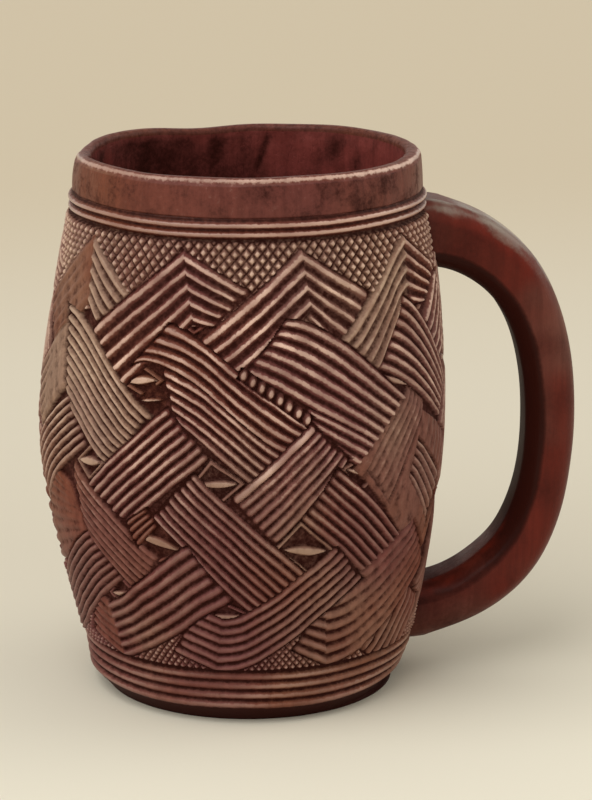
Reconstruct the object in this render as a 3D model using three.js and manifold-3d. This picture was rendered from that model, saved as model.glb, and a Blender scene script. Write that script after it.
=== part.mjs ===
// A tall carved wooden drinking cup with a loop handle, in millimetres.
// +Z is up and the origin is the centre of the flat base. The handle points along +X.

import * as THREE from "three";
import { mergeVertices } from "three/addons/utils/BufferGeometryUtils.js";
import Module from "manifold-3d";

const wasm = await Module();
wasm.setup();

// Barrel wall: the radii are those of the carved crests
const cupHeight = 150;
const footTopHeight = 15.5;
const footTopRadius = 47.3;
const footTopFlare = 0.19;
const bellyHeight = 74;
const bellyRadius = 56.4;
const neckDrop = 17;
const neckRadius = 49.7;
const neckTaper = 0.17;

// Plaited relief: two families of carved strips wind round the wall and cross in rows, turn by turn
// over and under. Falling strips run down to the right, seen from outside, and rising strips run up
// to the right. At the top a pair of them meets in a chevron, and at the foot in a valley. A share is
// a part of the spacing between two strips, or of the row pitch, and an angle is in degrees.
const plaitRepeats = 10;
const plaitRows = 6;
const plaitMiddleHeight = 73.5;
const plaitRowPitch = 20;
const rowEaseShare = 0.02035;
const rowDriftAngle = 4.1;
const rowReturnAngle = 2.4;
const returnFromRow = 3.6;
const plaitFrontAngle = -96;
const frontStretchRatio = 0.055;
const fallingShare = 0.76;
const risingShare = 0.68;
const turnShare = 0.7;
const stopShare = 0.03;
const fallingCrests = 6;
const risingCrests = 5;
const chevronCrests = 4;
const valleyCrests = 5;
const grooveDepth = 1.1;
const groundDepth = 1.8;
const stripRoot = 1.5;

// The barrel leans a little away from the handle at its middle
const sideBow = 2;
const bowHeight = 130;

// Foot: a flat base with an undercut edge, and low turned-looking ridges above it
const baseRadius = 40;
const undercutHeight = 4.2;
const footRidgeCount = 4;
const footRidgeRadius = 46.2;
const footRidgeDepth = 0.9;
const footRidgeTaper = 0.13;
const fieldEdge = 0.6;

// Neck ridges and the plain band of the rim
const neckRidgeCount = 2;
const neckRidgePitch = 2.4;
const neckRidgeRadius = 48.9;
const neckRidgeDepth = 1;
const ridgeFlank = 0.3;
const rimBandHeight = 10.8;
const rimBandRadius = 47.9;
const rimBandEdge = 0.4;
const rimBandCrown = 0.2;
const lipRadius = 46.6;
const lipRound = 1.9;

// Hollow
const lipInnerRadius = 42.8;
const wallThickness = 6.2;
const floorThickness = 11;
const floorFillet = 9;

// Handle: its centre line is half an ellipse with full shoulders, and its section a block with
// rounded arrises, softer on the side of the fingers
const handleTopDrop = 23;
const handleFootHeight = 18;
const handleReach = 84.2;
const handleRootRadius = 41;
const handleShoulder = 1.9;
const gripThickness = 14.8;
const topRootThickness = 18;
const footRootThickness = 15.4;
const gripWidth = 19.5;
const rootWidth = 21.5;
const outerArris = 4.2;
const innerArris = 5.5;
const rootFlarePower = 3;
const seatGap = 0.3;

// Facets
const wallSegments = 48;
const fieldRows = 5;
const hollowRows = 4;
const filletSteps = 2;
const stripSteps = 2;
const seatRows = 12;
const handleSteps = 30;
const arrisSteps = 3;
const mergeDistance = 1e-4;

const neckHeight = cupHeight - neckDrop;
const rimBandFoot = cupHeight - rimBandHeight;

const carvedWood = new THREE.MeshStandardMaterial({ color: 0x7a4a3c, roughness: 0.55, metalness: 0 });
const handleWood = new THREE.MeshStandardMaterial({ color: 0x6a3124, roughness: 0.38, metalness: 0 });

// A smooth curve between two values with a slope at each end
function blend(from, to, slopeFrom, slopeTo, span, t) {
  const t2 = t * t;
  const t3 = t2 * t;
  return (
    (2 * t3 - 3 * t2 + 1) * from +
    (t3 - 2 * t2 + t) * span * slopeFrom +
    (3 * t2 - 2 * t3) * to +
    (t3 - t2) * span * slopeTo
  );
}

// Radius of the barrel's carved crests at a height
function wallRadius(z) {
  if (z < bellyHeight) {
    const span = bellyHeight - footTopHeight;
    return blend(footTopRadius, bellyRadius, footTopFlare, 0, span, (z - footTopHeight) / span);
  }
  const span = neckHeight - bellyHeight;
  return blend(bellyRadius, neckRadius, 0, -neckTaper, span, (z - bellyHeight) / span);
}

// Sideways shift of the barrel's centre at a height
function bowAt(z) {
  if (z <= 0 || z >= bowHeight) {
    return 0;
  }
  return -sideBow * Math.sin((Math.PI * z) / bowHeight) ** 2;
}

// Outline of a row of ridges as points of radius and height, from the lowest ridge up
function ridgeOutline(low, count, pitch, radiusAt, depth) {
  const points = [];
  for (let i = 0; i < count; i += 1) {
    const z = low + i * pitch;
    points.push(new THREE.Vector2(radiusAt(z) - depth, z));
    const crestFrom = z + pitch * ridgeFlank;
    const crestTo = z + pitch * (1 - ridgeFlank);
    points.push(new THREE.Vector2(radiusAt(crestFrom), crestFrom));
    points.push(new THREE.Vector2(radiusAt(crestTo), crestTo));
  }
  const top = low + count * pitch;
  points.push(new THREE.Vector2(radiusAt(top) - depth, top));
  return points;
}

// Outer outline from the base's edge up to the lip, with the carved field in this many rows, this far
// out from its crests
function outerOutline(fieldOut, rows) {
  const points = [new THREE.Vector2(baseRadius, 0)];
  const footPitch = (footTopHeight - undercutHeight) / footRidgeCount;
  const footRadius = (z) => footRidgeRadius - footRidgeTaper * (footTopHeight - z);
  points.push(...ridgeOutline(undercutHeight, footRidgeCount, footPitch, footRadius, footRidgeDepth));
  const fieldFoot = footTopHeight + fieldEdge;
  for (let i = 0; i <= rows; i += 1) {
    const z = fieldFoot + ((neckHeight - fieldFoot) * i) / rows;
    points.push(new THREE.Vector2(wallRadius(z) + fieldOut, z));
  }
  const ridgeFoot = rimBandFoot - rimBandEdge - neckRidgeCount * neckRidgePitch;
  const neckRadiusAt = () => neckRidgeRadius;
  points.push(...ridgeOutline(ridgeFoot, neckRidgeCount, neckRidgePitch, neckRadiusAt, neckRidgeDepth));
  points.push(new THREE.Vector2(rimBandRadius, rimBandFoot));
  const crownRadius = (rimBandRadius + lipRadius) / 2 + rimBandCrown;
  points.push(new THREE.Vector2(crownRadius, cupHeight - rimBandHeight / 2));
  return points;
}

// The lip's rounding from the outside over to the inside
function lipOutline() {
  const points = [];
  const middle = (lipRadius + lipInnerRadius) / 2;
  const half = (lipRadius - lipInnerRadius) / 2;
  for (let i = 0; i <= 2 * filletSteps; i += 1) {
    const angle = (Math.PI / 2) * (i / filletSteps);
    const z = cupHeight - lipRound + lipRound * Math.sin(angle);
    points.push(new THREE.Vector2(middle + half * Math.cos(angle), z));
  }
  return points;
}

// The hollow's outline from under the lip down to the middle of the floor
function hollowOutline() {
  const points = [];
  const filletTop = floorThickness + floorFillet;
  for (let i = 0; i <= hollowRows; i += 1) {
    const z = neckHeight + ((filletTop - neckHeight) * i) / hollowRows;
    points.push(new THREE.Vector2(wallRadius(z) - wallThickness, z));
  }
  const cornerRadius = wallRadius(filletTop) - wallThickness;
  for (let i = 1; i <= filletSteps; i += 1) {
    const angle = (Math.PI / 2) * (i / filletSteps);
    const r = cornerRadius - floorFillet + floorFillet * Math.cos(angle);
    points.push(new THREE.Vector2(r, filletTop - floorFillet * Math.sin(angle)));
  }
  points.push(new THREE.Vector2(0, floorThickness));
  return points;
}

// Height of a plait row, counted down from the middle line of the chevrons
function rowHeight(row) {
  const half = plaitRows / 2;
  const offset = row - half;
  const inner = Math.max(-half, Math.min(half, offset));
  const endSlope = 1 - 3 * rowEaseShare * half ** 2;
  const rowsDown = inner - rowEaseShare * inner ** 3 + endSlope * (offset - inner);
  return plaitMiddleHeight - plaitRowPitch * rowsDown;
}

// How far a plait row has drifted round the wall from the chevrons, in degrees
function rowDrift(row) {
  return rowDriftAngle * row - rowReturnAngle * Math.max(0, row - returnFromRow) ** 2;
}

// A point on the wall at a pair of strip coordinates, this far out from the crests. A whole number is
// the middle line of a falling or a rising strip, and the row is the difference of the two.
function plaitPoint(falling, rising, out) {
  const row = rising - falling;
  const turn = (Math.PI * (falling + rising - 1)) / plaitRepeats;
  const drift = THREE.MathUtils.degToRad(plaitFrontAngle + rowDrift(row));
  const angle = turn + frontStretchRatio * Math.sin(turn) + drift;
  const z = rowHeight(row);
  const r = wallRadius(z) + out;
  return new THREE.Vector3(r * Math.cos(angle) + bowAt(z), r * Math.sin(angle), z);
}

// A ridged strip between stations along it. Each station gives the pair of strip coordinates at a
// distance across the strip, and its ring runs over the ridges and back under the ground.
function ridgedStrip(stations, width, crests) {
  const rings = stations.map((at) => {
    const ring = [];
    for (let i = 0; i <= 2 * crests; i += 1) {
      const across = width * (0.5 - i / (2 * crests));
      ring.push(plaitPoint(...at(across), i % 2 === 0 ? -grooveDepth : 0));
    }
    ring.push(plaitPoint(...at(-width / 2), -groundDepth - stripRoot));
    ring.push(plaitPoint(...at(width / 2), -groundDepth - stripRoot));
    return ring;
  });
  return solidFrom(lofted(rings, ridgedCap(crests)));
}

// Triangles that close one end of a ridged strip: one for each crest, and a fan below the grooves
function ridgedCap(crests) {
  const triangles = [];
  const buried = 2 * crests + 2;
  for (let i = 0; i < crests; i += 1) {
    triangles.push([2 * i, 2 * i + 1, 2 * i + 2]);
    triangles.push([buried, 2 * i, 2 * i + 2]);
  }
  triangles.push([buried, 2 * crests, 2 * crests + 1]);
  return triangles;
}

// Stations in even steps between two ends, each a function from the place across to coordinates
function stationsBetween(from, to, steps) {
  const stations = [];
  for (let i = 0; i <= steps; i += 1) {
    stations.push((across) => {
      const start = from(across);
      const end = to(across);
      return [0, 1].map((k) => start[k] + ((end[k] - start[k]) * i) / steps);
    });
  }
  return stations;
}

// The length of a falling strip that lies over its rising neighbour in this row
function fallingOver(strip, row) {
  const reach = 1 - risingShare / 2 - stopShare;
  const from = (across) => [strip - across, strip + row - reach];
  const to = (across) => [strip - across, strip + row + reach];
  return ridgedStrip(stationsBetween(from, to, stripSteps), fallingShare, fallingCrests);
}

// The length of a rising strip that lies over its falling neighbour in this row
function risingOver(strip, row) {
  const reach = 1 - fallingShare / 2 - stopShare;
  const from = (across) => [strip - row - reach, strip + across];
  const to = (across) => [strip - row + reach, strip + across];
  return ridgedStrip(stationsBetween(from, to, stripSteps), risingShare, risingCrests);
}

// A chevron: a rising strip that turns at its top into the falling strip of the same number
function chevron(strip) {
  const foot = (across) => [strip - 2 + fallingShare / 2 + stopShare, strip + across];
  const peak = (across) => [strip - across, strip + across];
  const end = (across) => [strip - across, strip + 1 - turnShare / 2 - stopShare];
  const stations = stationsBetween(foot, peak, stripSteps + 1);
  stations.push(...stationsBetween(peak, end, 1).slice(1));
  return ridgedStrip(stations, turnShare, chevronCrests);
}

// A valley: a falling strip that turns at its foot into the rising strip that climbs from there
function valley(strip) {
  const top = (across) => [strip - across, strip + plaitRows - 1 + turnShare / 2 + stopShare];
  const turn = (across) => [strip - across, strip + plaitRows + across];
  const end = (across) => [strip + 2 - fallingShare / 2 - stopShare, strip + plaitRows + across];
  const stations = stationsBetween(top, turn, 1);
  stations.push(...stationsBetween(turn, end, stripSteps + 1).slice(1));
  return ridgedStrip(stations, turnShare, valleyCrests);
}

// The wall's solid with all the strips of the plait on it. Between the chevrons and the valleys, a
// falling strip lies on top in each even row and a rising strip in each odd one.
function plaited(wall) {
  let carved = wall;
  for (let strip = 0; strip < plaitRepeats; strip += 1) {
    carved = carved.add(chevron(strip)).add(valley(strip));
    for (let row = 2; row <= plaitRows - 2; row += 1) {
      carved = carved.add(row % 2 === 0 ? fallingOver(strip, row) : risingOver(strip, row));
    }
  }
  return carved;
}

// A turned solid about Z, whose points are then shifted by the barrel's bow
function turned(outline) {
  const geometry = new THREE.LatheGeometry(outline, wallSegments);
  geometry.rotateX(Math.PI / 2);
  const position = geometry.getAttribute("position");
  for (let i = 0; i < position.count; i += 1) {
    position.setX(i, position.getX(i) + bowAt(position.getZ(i)));
  }
  return geometry;
}

// A closed skin through a row of rings, each with the same number of points. The cap's triangles
// close both ends.
function lofted(rings, cap) {
  const sides = rings[0].length;
  const positions = rings.flat().flatMap((p) => [p.x, p.y, p.z]);
  const index = [];
  for (let i = 0; i + 1 < rings.length; i += 1) {
    for (let k = 0; k < sides; k += 1) {
      const a = i * sides + k;
      const b = i * sides + ((k + 1) % sides);
      index.push(a, b + sides, b, a, a + sides, b + sides);
    }
  }
  const last = (rings.length - 1) * sides;
  for (const [a, b, c] of cap) {
    index.push(a, b, c);
    index.push(last + a, last + c, last + b);
  }
  const geometry = new THREE.BufferGeometry();
  geometry.setAttribute("position", new THREE.Float32BufferAttribute(positions, 3));
  geometry.setIndex(index);
  return geometry;
}

// Triangles that close the end of a ring that bulges all round
function fanCap(sides) {
  const triangles = [];
  for (let k = 1; k + 1 < sides; k += 1) {
    triangles.push([0, k, k + 1]);
  }
  return triangles;
}

// A geometry as a solid for joining and cutting
function solidFrom(geometry) {
  const bare = geometry.clone();
  bare.deleteAttribute("normal");
  bare.deleteAttribute("uv");
  const merged = mergeVertices(bare, mergeDistance);
  const corners = merged.getIndex().array;
  const kept = [];
  for (let i = 0; i < corners.length; i += 3) {
    const [a, b, c] = [corners[i], corners[i + 1], corners[i + 2]];
    if (a !== b && b !== c && c !== a) {
      kept.push(a, b, c);
    }
  }
  return new wasm.Manifold(
    new wasm.Mesh({
      numProp: 3,
      vertProperties: new Float32Array(merged.getAttribute("position").array),
      triVerts: new Uint32Array(kept),
    }),
  );
}

// A solid back as a geometry
function geometryFrom(solid) {
  const mesh = solid.getMesh();
  const geometry = new THREE.BufferGeometry();
  geometry.setAttribute("position", new THREE.BufferAttribute(mesh.vertProperties, mesh.numProp));
  geometry.setIndex(new THREE.BufferAttribute(mesh.triVerts, 1));
  geometry.computeVertexNormals();
  return geometry;
}

// The wall's outside grown by the seat gap, which the handle's roots are cut to
function seatEnvelope() {
  const outline = outerOutline(0, seatRows).map((p) => new THREE.Vector2(p.x + seatGap, p.y));
  outline.unshift(new THREE.Vector2(0, 0));
  outline.push(new THREE.Vector2(lipRadius + seatGap, cupHeight));
  outline.push(new THREE.Vector2(0, cupHeight));
  return solidFrom(turned(outline));
}

// Outline of a block section, with one rounding on its two outer arrises and one on its inner ones,
// as points across its thickness and along its width
function blockSection(halfThick, halfWidth) {
  const points = [];
  for (let corner = 0; corner < 4; corner += 1) {
    const start = (Math.PI / 2) * corner;
    const outer = corner === 0 || corner === 3;
    const radius = outer ? outerArris : innerArris;
    const centreX = (outer ? 1 : -1) * (halfThick - radius);
    const centreY = (corner < 2 ? 1 : -1) * (halfWidth - radius);
    for (let i = 0; i <= arrisSteps; i += 1) {
      const turn = start + ((Math.PI / 2) * i) / arrisSteps;
      points.push(new THREE.Vector2(centreX + radius * Math.cos(turn), centreY + radius * Math.sin(turn)));
    }
  }
  return points;
}

// One section of the handle at an angle along its half ellipse, 90 degrees at the top root
function handleSection(angle) {
  const topHeight = cupHeight - handleTopDrop;
  const middle = (topHeight + handleFootHeight) / 2;
  const halfSpan = (topHeight - handleFootHeight) / 2;
  const reach = handleReach - handleRootRadius + handleShoulder;
  const centre = new THREE.Vector3(
    handleRootRadius + reach * Math.cos(angle) - handleShoulder * Math.cos(3 * angle),
    0,
    middle + halfSpan * Math.sin(angle),
  );
  const outward = new THREE.Vector3(
    halfSpan * Math.cos(angle),
    0,
    reach * Math.sin(angle) - 3 * handleShoulder * Math.sin(3 * angle),
  ).normalize();
  const rootThickness = angle > 0 ? topRootThickness : footRootThickness;
  const rootShare = Math.abs(Math.sin(angle)) ** rootFlarePower;
  const halfThick = (gripThickness + (rootThickness - gripThickness) * rootShare) / 2;
  const halfWidth = (gripWidth + (rootWidth - gripWidth) * rootShare) / 2;
  return blockSection(halfThick, halfWidth).map((p) => {
    const point = centre.clone().addScaledVector(outward, p.x);
    point.y += p.y;
    return point;
  });
}

function cupBody() {
  const outside = [new THREE.Vector2(0, 0), ...outerOutline(-groundDepth, fieldRows)];
  const outline = [...outside, ...lipOutline(), ...hollowOutline()];
  const mesh = new THREE.Mesh(geometryFrom(plaited(solidFrom(turned(outline)))), carvedWood);
  mesh.name = "cup_body";
  return mesh;
}

function handle() {
  const rings = [];
  const buried = handleRootRadius / 2;
  for (let i = 0; i <= handleSteps; i += 1) {
    rings.push(handleSection(Math.PI / 2 - (Math.PI * i) / handleSteps));
  }
  rings.unshift(rings[0].map((p) => new THREE.Vector3(p.x - buried, p.y, p.z)));
  rings.push(rings.at(-1).map((p) => new THREE.Vector3(p.x - buried, p.y, p.z)));
  const loop = solidFrom(lofted(rings, fanCap(rings[0].length))).subtract(seatEnvelope());
  const mesh = new THREE.Mesh(geometryFrom(loop), handleWood);
  mesh.name = "handle";
  return mesh;
}

const group = new THREE.Group();
group.add(cupBody());
group.add(handle());

export default group;
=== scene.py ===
"""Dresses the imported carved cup: its plaited wall, rim, foot and hollow, its loop handle and a plain studio.

It is laid out as an add-on and run as a script. Lengths inside the shape functions are millimetres, as a
carver would give them, and the meshes are made in metres."""

import math
from dataclasses import dataclass

import bpy
import numpy as np
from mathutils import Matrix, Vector


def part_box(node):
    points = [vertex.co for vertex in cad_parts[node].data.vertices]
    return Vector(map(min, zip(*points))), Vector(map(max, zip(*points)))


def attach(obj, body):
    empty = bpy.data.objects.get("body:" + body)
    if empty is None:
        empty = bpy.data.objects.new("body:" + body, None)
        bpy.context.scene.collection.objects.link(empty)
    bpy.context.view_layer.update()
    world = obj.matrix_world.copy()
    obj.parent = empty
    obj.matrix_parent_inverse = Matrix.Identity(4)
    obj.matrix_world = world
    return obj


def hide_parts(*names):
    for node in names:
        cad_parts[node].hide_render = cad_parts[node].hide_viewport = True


bl_info = {
    "name": "Carved drinking cup",
    "version": (1, 0, 0),
    "blender": (4, 5, 0),
    "location": "3D View > Sidebar > Carved cup",
    "description": "Carves a wooden cup with a plaited wall and a loop handle and sets it in a plain studio",
    "category": "Object",
}

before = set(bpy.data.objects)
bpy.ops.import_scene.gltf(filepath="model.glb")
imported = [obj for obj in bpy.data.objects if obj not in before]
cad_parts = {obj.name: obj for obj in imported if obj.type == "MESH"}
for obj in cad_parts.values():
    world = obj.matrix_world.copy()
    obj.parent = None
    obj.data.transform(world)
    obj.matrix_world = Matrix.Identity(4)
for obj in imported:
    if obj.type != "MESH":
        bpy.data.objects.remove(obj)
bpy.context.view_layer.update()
BODY_LOW, BODY_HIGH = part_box("cup_body")
HANDLE_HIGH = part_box("handle")[1]
MM = 0.001

# The barrel, as in the frame. Its radii are those of the carved crests.
CUP_HEIGHT = BODY_HIGH.z / MM
BELLY_RADIUS = BODY_HIGH.y / MM
SIDE_BOW = -BODY_LOW.x / MM - BELLY_RADIUS
BOW_HEIGHT = 130.0
FOOT_TOP_HEIGHT, FOOT_TOP_RADIUS, FOOT_TOP_FLARE = 15.5, 47.3, 0.19
BELLY_HEIGHT = 74.0
NECK_HEIGHT, NECK_RADIUS, NECK_TAPER = CUP_HEIGHT - 17.0, 49.7, 0.17
BASE_RADIUS, UNDERCUT_HEIGHT = 40.0, 4.2
FOOT_RIDGES, FOOT_RIDGE_RADIUS, FOOT_RIDGE_TAPER, FOOT_RIDGE_DEPTH = 4, 46.2, 0.13, 1.0
NECK_RIDGES, NECK_RIDGE_PITCH, NECK_RIDGE_RADIUS, NECK_RIDGE_DEPTH = 2, 2.4, 48.8, 1.1
BAND_FOOT, BAND_EDGE, BAND_RADIUS = CUP_HEIGHT - 10.8, 0.4, 47.8
BAND_CUT, BAND_WAVER, FIELD_EDGE_DEPTH = 0.9, 0.12, 1.0
LIP_RADIUS, LIP_INNER_RADIUS, LIP_ROUND, LIP_DENT, LIP_INSET = 46.5, 42.8, 1.9, 0.15, 0.24
LIP_FOOT, LIP_INSIDE, DIPS_FOOT = CUP_HEIGHT - LIP_ROUND, CUP_HEIGHT - 4, BAND_FOOT + 1
WALL, FLOOR, FLOOR_FILLET = 6.2, 11.0, 9.0
RING_WAVER, BASE_WAVER = 0.22, 0.08
FLUTES, FLUTE_DEPTH, HOLLOW_WAVER = 17, 0.14, 0.28
# How much the foot is rubbed away on the right and how much wider the lip is there. A place is degrees to the
# right of the front, and a half width in degrees.
FOOT_WEAR, FOOT_WEAR_PLACE, FOOT_WEAR_HEIGHTS = 2.2, (75, 28), (3, 13)
LIP_FLARE, LIP_FLARE_PLACE = 0.7, (84, 35)

# The plait, as in the frame: rows counted down from the chevrons, and angles in degrees
REPEATS = 10
ROWS = 6
PLAIT_MIDDLE, ROW_PITCH, ROW_EASE = 73.5, 20.0, 0.02035
ROW_DRIFT, ROW_RETURN, RETURN_FROM = 4.1, 2.4, 3.6
FRONT_ANGLE, FRONT_STRETCH = -96.0, 0.055
FALLING_SHARE, RISING_SHARE, TURN_SHARE = 0.76, 0.68, 0.7
FIELD_FOOT, FIELD_TOP = FOOT_TOP_HEIGHT + 0.5, NECK_HEIGHT + 0.5

# The handle, as in the frame
HANDLE_TOP, HANDLE_FOOT, HANDLE_CENTRE, HANDLE_SHOULDER = CUP_HEIGHT - 23.0, 18.0, 41.0, 1.9
GRIP, TOP_ROOT, FOOT_ROOT = 14.8, 18.0, 15.4
GRIP_WIDTH, ROOT_WIDTH = 2 * HANDLE_HIGH.y / MM - 2.0, 2 * HANDLE_HIGH.y / MM
HANDLE_REACH = HANDLE_HIGH.x / MM - GRIP / 2
GRIP_INSET, SIDE_INSET = 0.2, 0.45  # how far the handle's skin stays inside its solid
BEND_RADIUS, FLARE_REACH, ROOT_SINK = 50, 4, 2.4
# What the knife left on the outside of both bends and the inside of the lower one. A place is radians along
# the loop, counted up from its outermost point, and a half width.
BEND_FULLNESS, SHOULDER, LOWER_BEND, LOWER_CROOK = 0.8, (0.95, 0.4), (-0.8, 0.4), (-1.05, 0.3)


def length_property(name, description, length):
    return bpy.props.FloatProperty(name=name, description=description, default=length * MM, unit="LENGTH")


def strength_property(name, description, default):
    return bpy.props.FloatProperty(name=name, description=description, default=default, min=0)


def count_property(name, description, default):
    return bpy.props.IntProperty(name=name, description=description, default=default, min=1)


def colour_property(name, description, default):
    return bpy.props.FloatVectorProperty(
        name=name, description=description, subtype="COLOR", size=3, min=0, max=1, default=default
    )


class CupReliefSettings(bpy.types.PropertyGroup):
    """Sizes of the carving."""

    groove: length_property("Groove depth", "Depth of the grooves between two ridges", 1.15)
    pit: length_property("Pit depth", "Depth of the holes between the strips", 2.1)
    waver: length_property("Waver", "How far the cut lines stray from true", 0.17)
    stud_pitch: length_property("Stud pitch", "Distance between the grooves that cut the studs", 2.15)
    grid: length_property("Grid", "Size of the faces on the carved wall", 0.34)
    falling_ridges: count_property("Falling ridges", "Ridges on a strip that falls to the right", 8)
    rising_ridges: count_property("Rising ridges", "Ridges on a strip that rises to the right", 7)
    chevron_ridges: count_property("Chevron ridges", "Ridges on a top chevron", 5)
    valley_ridges: count_property("Valley ridges", "Ridges on a foot valley", 6)


class CupHandleSettings(bpy.types.PropertyGroup):
    """Sizes of the handle."""

    outer_arris: length_property("Outer arris", "Rounding of the two outer edges", 7.0)
    inner_chamfer: length_property("Inner chamfer", "Cut on the two edges by the fingers", 5.6)
    root_flare: length_property("Root flare", "How far the roots spread where they meet the wall", 1.1)


class CupFinishSettings(bpy.types.PropertyGroup):
    """Colours of the wood, in linear light."""

    # The groove colour darkens the cuts as dirt and painted shade, and it paints the shade deep in the hollow,
    # under the foot and on the handle's inner side.
    groove: colour_property("Groove", "Old dirt at the bottom of the cuts", (0.030, 0.0042, 0.0021))
    wood: colour_property("Wood", "The wood between the grooves and the crests", (0.184, 0.060, 0.055))
    crest: colour_property("Crest", "Crests rubbed pale by hands", (0.86, 0.59, 0.485))
    tan: colour_property("Tan", "Dry, sun-bleached patches", (0.48, 0.335, 0.23))
    red: colour_property("Red", "Patches where the wood shows red", (0.19, 0.055, 0.028))
    band: colour_property("Band", "The plain band under the lip", (0.16, 0.042, 0.034))
    hollow: colour_property("Hollow", "The wood inside the cup", (0.245, 0.052, 0.044))
    handle: colour_property("Handle", "The polished wood of the handle", (0.135, 0.0165, 0.009))
    # Painted sheen: a grey-brown highlight that the handle's mask lays on the upward-facing top of the loop.
    painted_sheen: colour_property("Sheen", "Grey-brown bloom on the top of the handle", (0.235, 0.185, 0.145))


class CupStageSettings(bpy.types.PropertyGroup):
    """The studio round the cup."""

    # The floor's three colours paint the studio light: lightest in front of the cup, darker round it and
    # darkest far behind it.
    near: colour_property("Near floor", "Colour of the floor in front of the cup", (0.87, 0.84, 0.72))
    middle: colour_property("Middle floor", "Colour of the floor round the cup", (0.70, 0.655, 0.545))
    far: colour_property("Far floor", "Colour of the floor far behind the cup", (0.62, 0.545, 0.415))
    key: strength_property("Key", "Strength of the light from the upper left", 1.4)
    fill: strength_property("Fill", "Strength of the light from the right", 0.5)
    room: strength_property("Room", "Brightness of the room all round", 0.61)


def smooth(low, high, x):
    """0 below low, 1 above high, and an even curve between."""
    t = np.clip((x - low) / (high - low), 0, 1)
    return t * t * (3 - 2 * t)


def bell(middle, width, x):
    """1 at the middle, and an even fall to 0 on both sides."""
    return np.exp(-(((x - middle) / width) ** 2))


def wrapped(degrees):
    """The same direction, as degrees from -180 to 180."""
    return np.mod(degrees + 180, 360) - 180


def from_front(angle):
    """Degrees to the right of the front, for an angle round the cup."""
    return wrapped(np.degrees(angle) - FRONT_ANGLE)


def from_ridge(place):
    """0 on the middle of each ridge and 1 in the grooves, for a place counted in ridges."""
    return np.abs(2 * (place - np.floor(place)) - 1)


def wander(angle, height, seed, turns, rise, waves=7):
    """A smooth wandering value of about -1 to 1 that closes on itself round the cup. turns is the most waves
    round it, and rise the shortest wave up it in millimetres."""
    random = np.random.default_rng(seed)
    total = 0.0
    for _ in range(waves):
        around = random.integers(0, turns + 1)
        up = random.uniform(-1, 1) * 2 * math.pi / rise
        total = total + np.sin(around * angle + up * height + random.uniform(0, 2 * math.pi))
    return total / math.sqrt(waves)


def mixed(seed, number):
    """A steady random number from 0 to 1 for a whole number or an array of them."""
    value = np.sin(seed * 0.731 + number * 12.9898) * 43758.5453
    return value - np.floor(value)


def blend(start, end, slope_start, slope_end, span, t):
    """A curve between two values with a slope at each end."""
    t2, t3 = t * t, t * t * t
    return (
        (2 * t3 - 3 * t2 + 1) * start
        + (t3 - 2 * t2 + t) * span * slope_start
        + (3 * t2 - 2 * t3) * end
        + (t3 - t2) * span * slope_end
    )


def wall_radius(z):
    """Radius of the carved crests at a height."""
    low_span, high_span = BELLY_HEIGHT - FOOT_TOP_HEIGHT, NECK_HEIGHT - BELLY_HEIGHT
    low = blend(FOOT_TOP_RADIUS, BELLY_RADIUS, FOOT_TOP_FLARE, 0, low_span, (z - FOOT_TOP_HEIGHT) / low_span)
    high = blend(BELLY_RADIUS, NECK_RADIUS, 0, -NECK_TAPER, high_span, (z - BELLY_HEIGHT) / high_span)
    return np.where(z < BELLY_HEIGHT, low, high)


def bow_at(z):
    """Sideways shift of the barrel's centre at a height."""
    return -SIDE_BOW * np.sin(math.pi * np.clip(z, 0, BOW_HEIGHT) / BOW_HEIGHT) ** 2


def row_height(row):
    """Height of a plait row."""
    half = ROWS / 2
    offset = row - half
    inner = np.clip(offset, -half, half)
    end_slope = 1 - 3 * ROW_EASE * half**2
    return PLAIT_MIDDLE - ROW_PITCH * (inner - ROW_EASE * inner**3 + end_slope * (offset - inner))


@dataclass(frozen=True)
class Strip:
    """One visible stretch of a strip. Its corners are (degrees to the right of the front, height), in the
    order start and end of its first ridge, then end and start of its last. The bulge is how far the first and
    the last ridge rise above a straight line. Heights are millimetres, and worn, tan and red are shares."""

    kind: str
    corners: tuple
    ridges: int
    bulge: tuple = (0.0, 0.0)
    worn: float = 0.1
    tan: float = 0.0
    red: float = 0.0


@dataclass(frozen=True)
class Hole:
    """A gap between the strips: its left, top, right and lower corner, and half the height of its leaf."""

    corners: tuple
    leaf: float = 1.2
    tan: float = 0.0
    red: float = 0.0
    framed: bool = True


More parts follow.
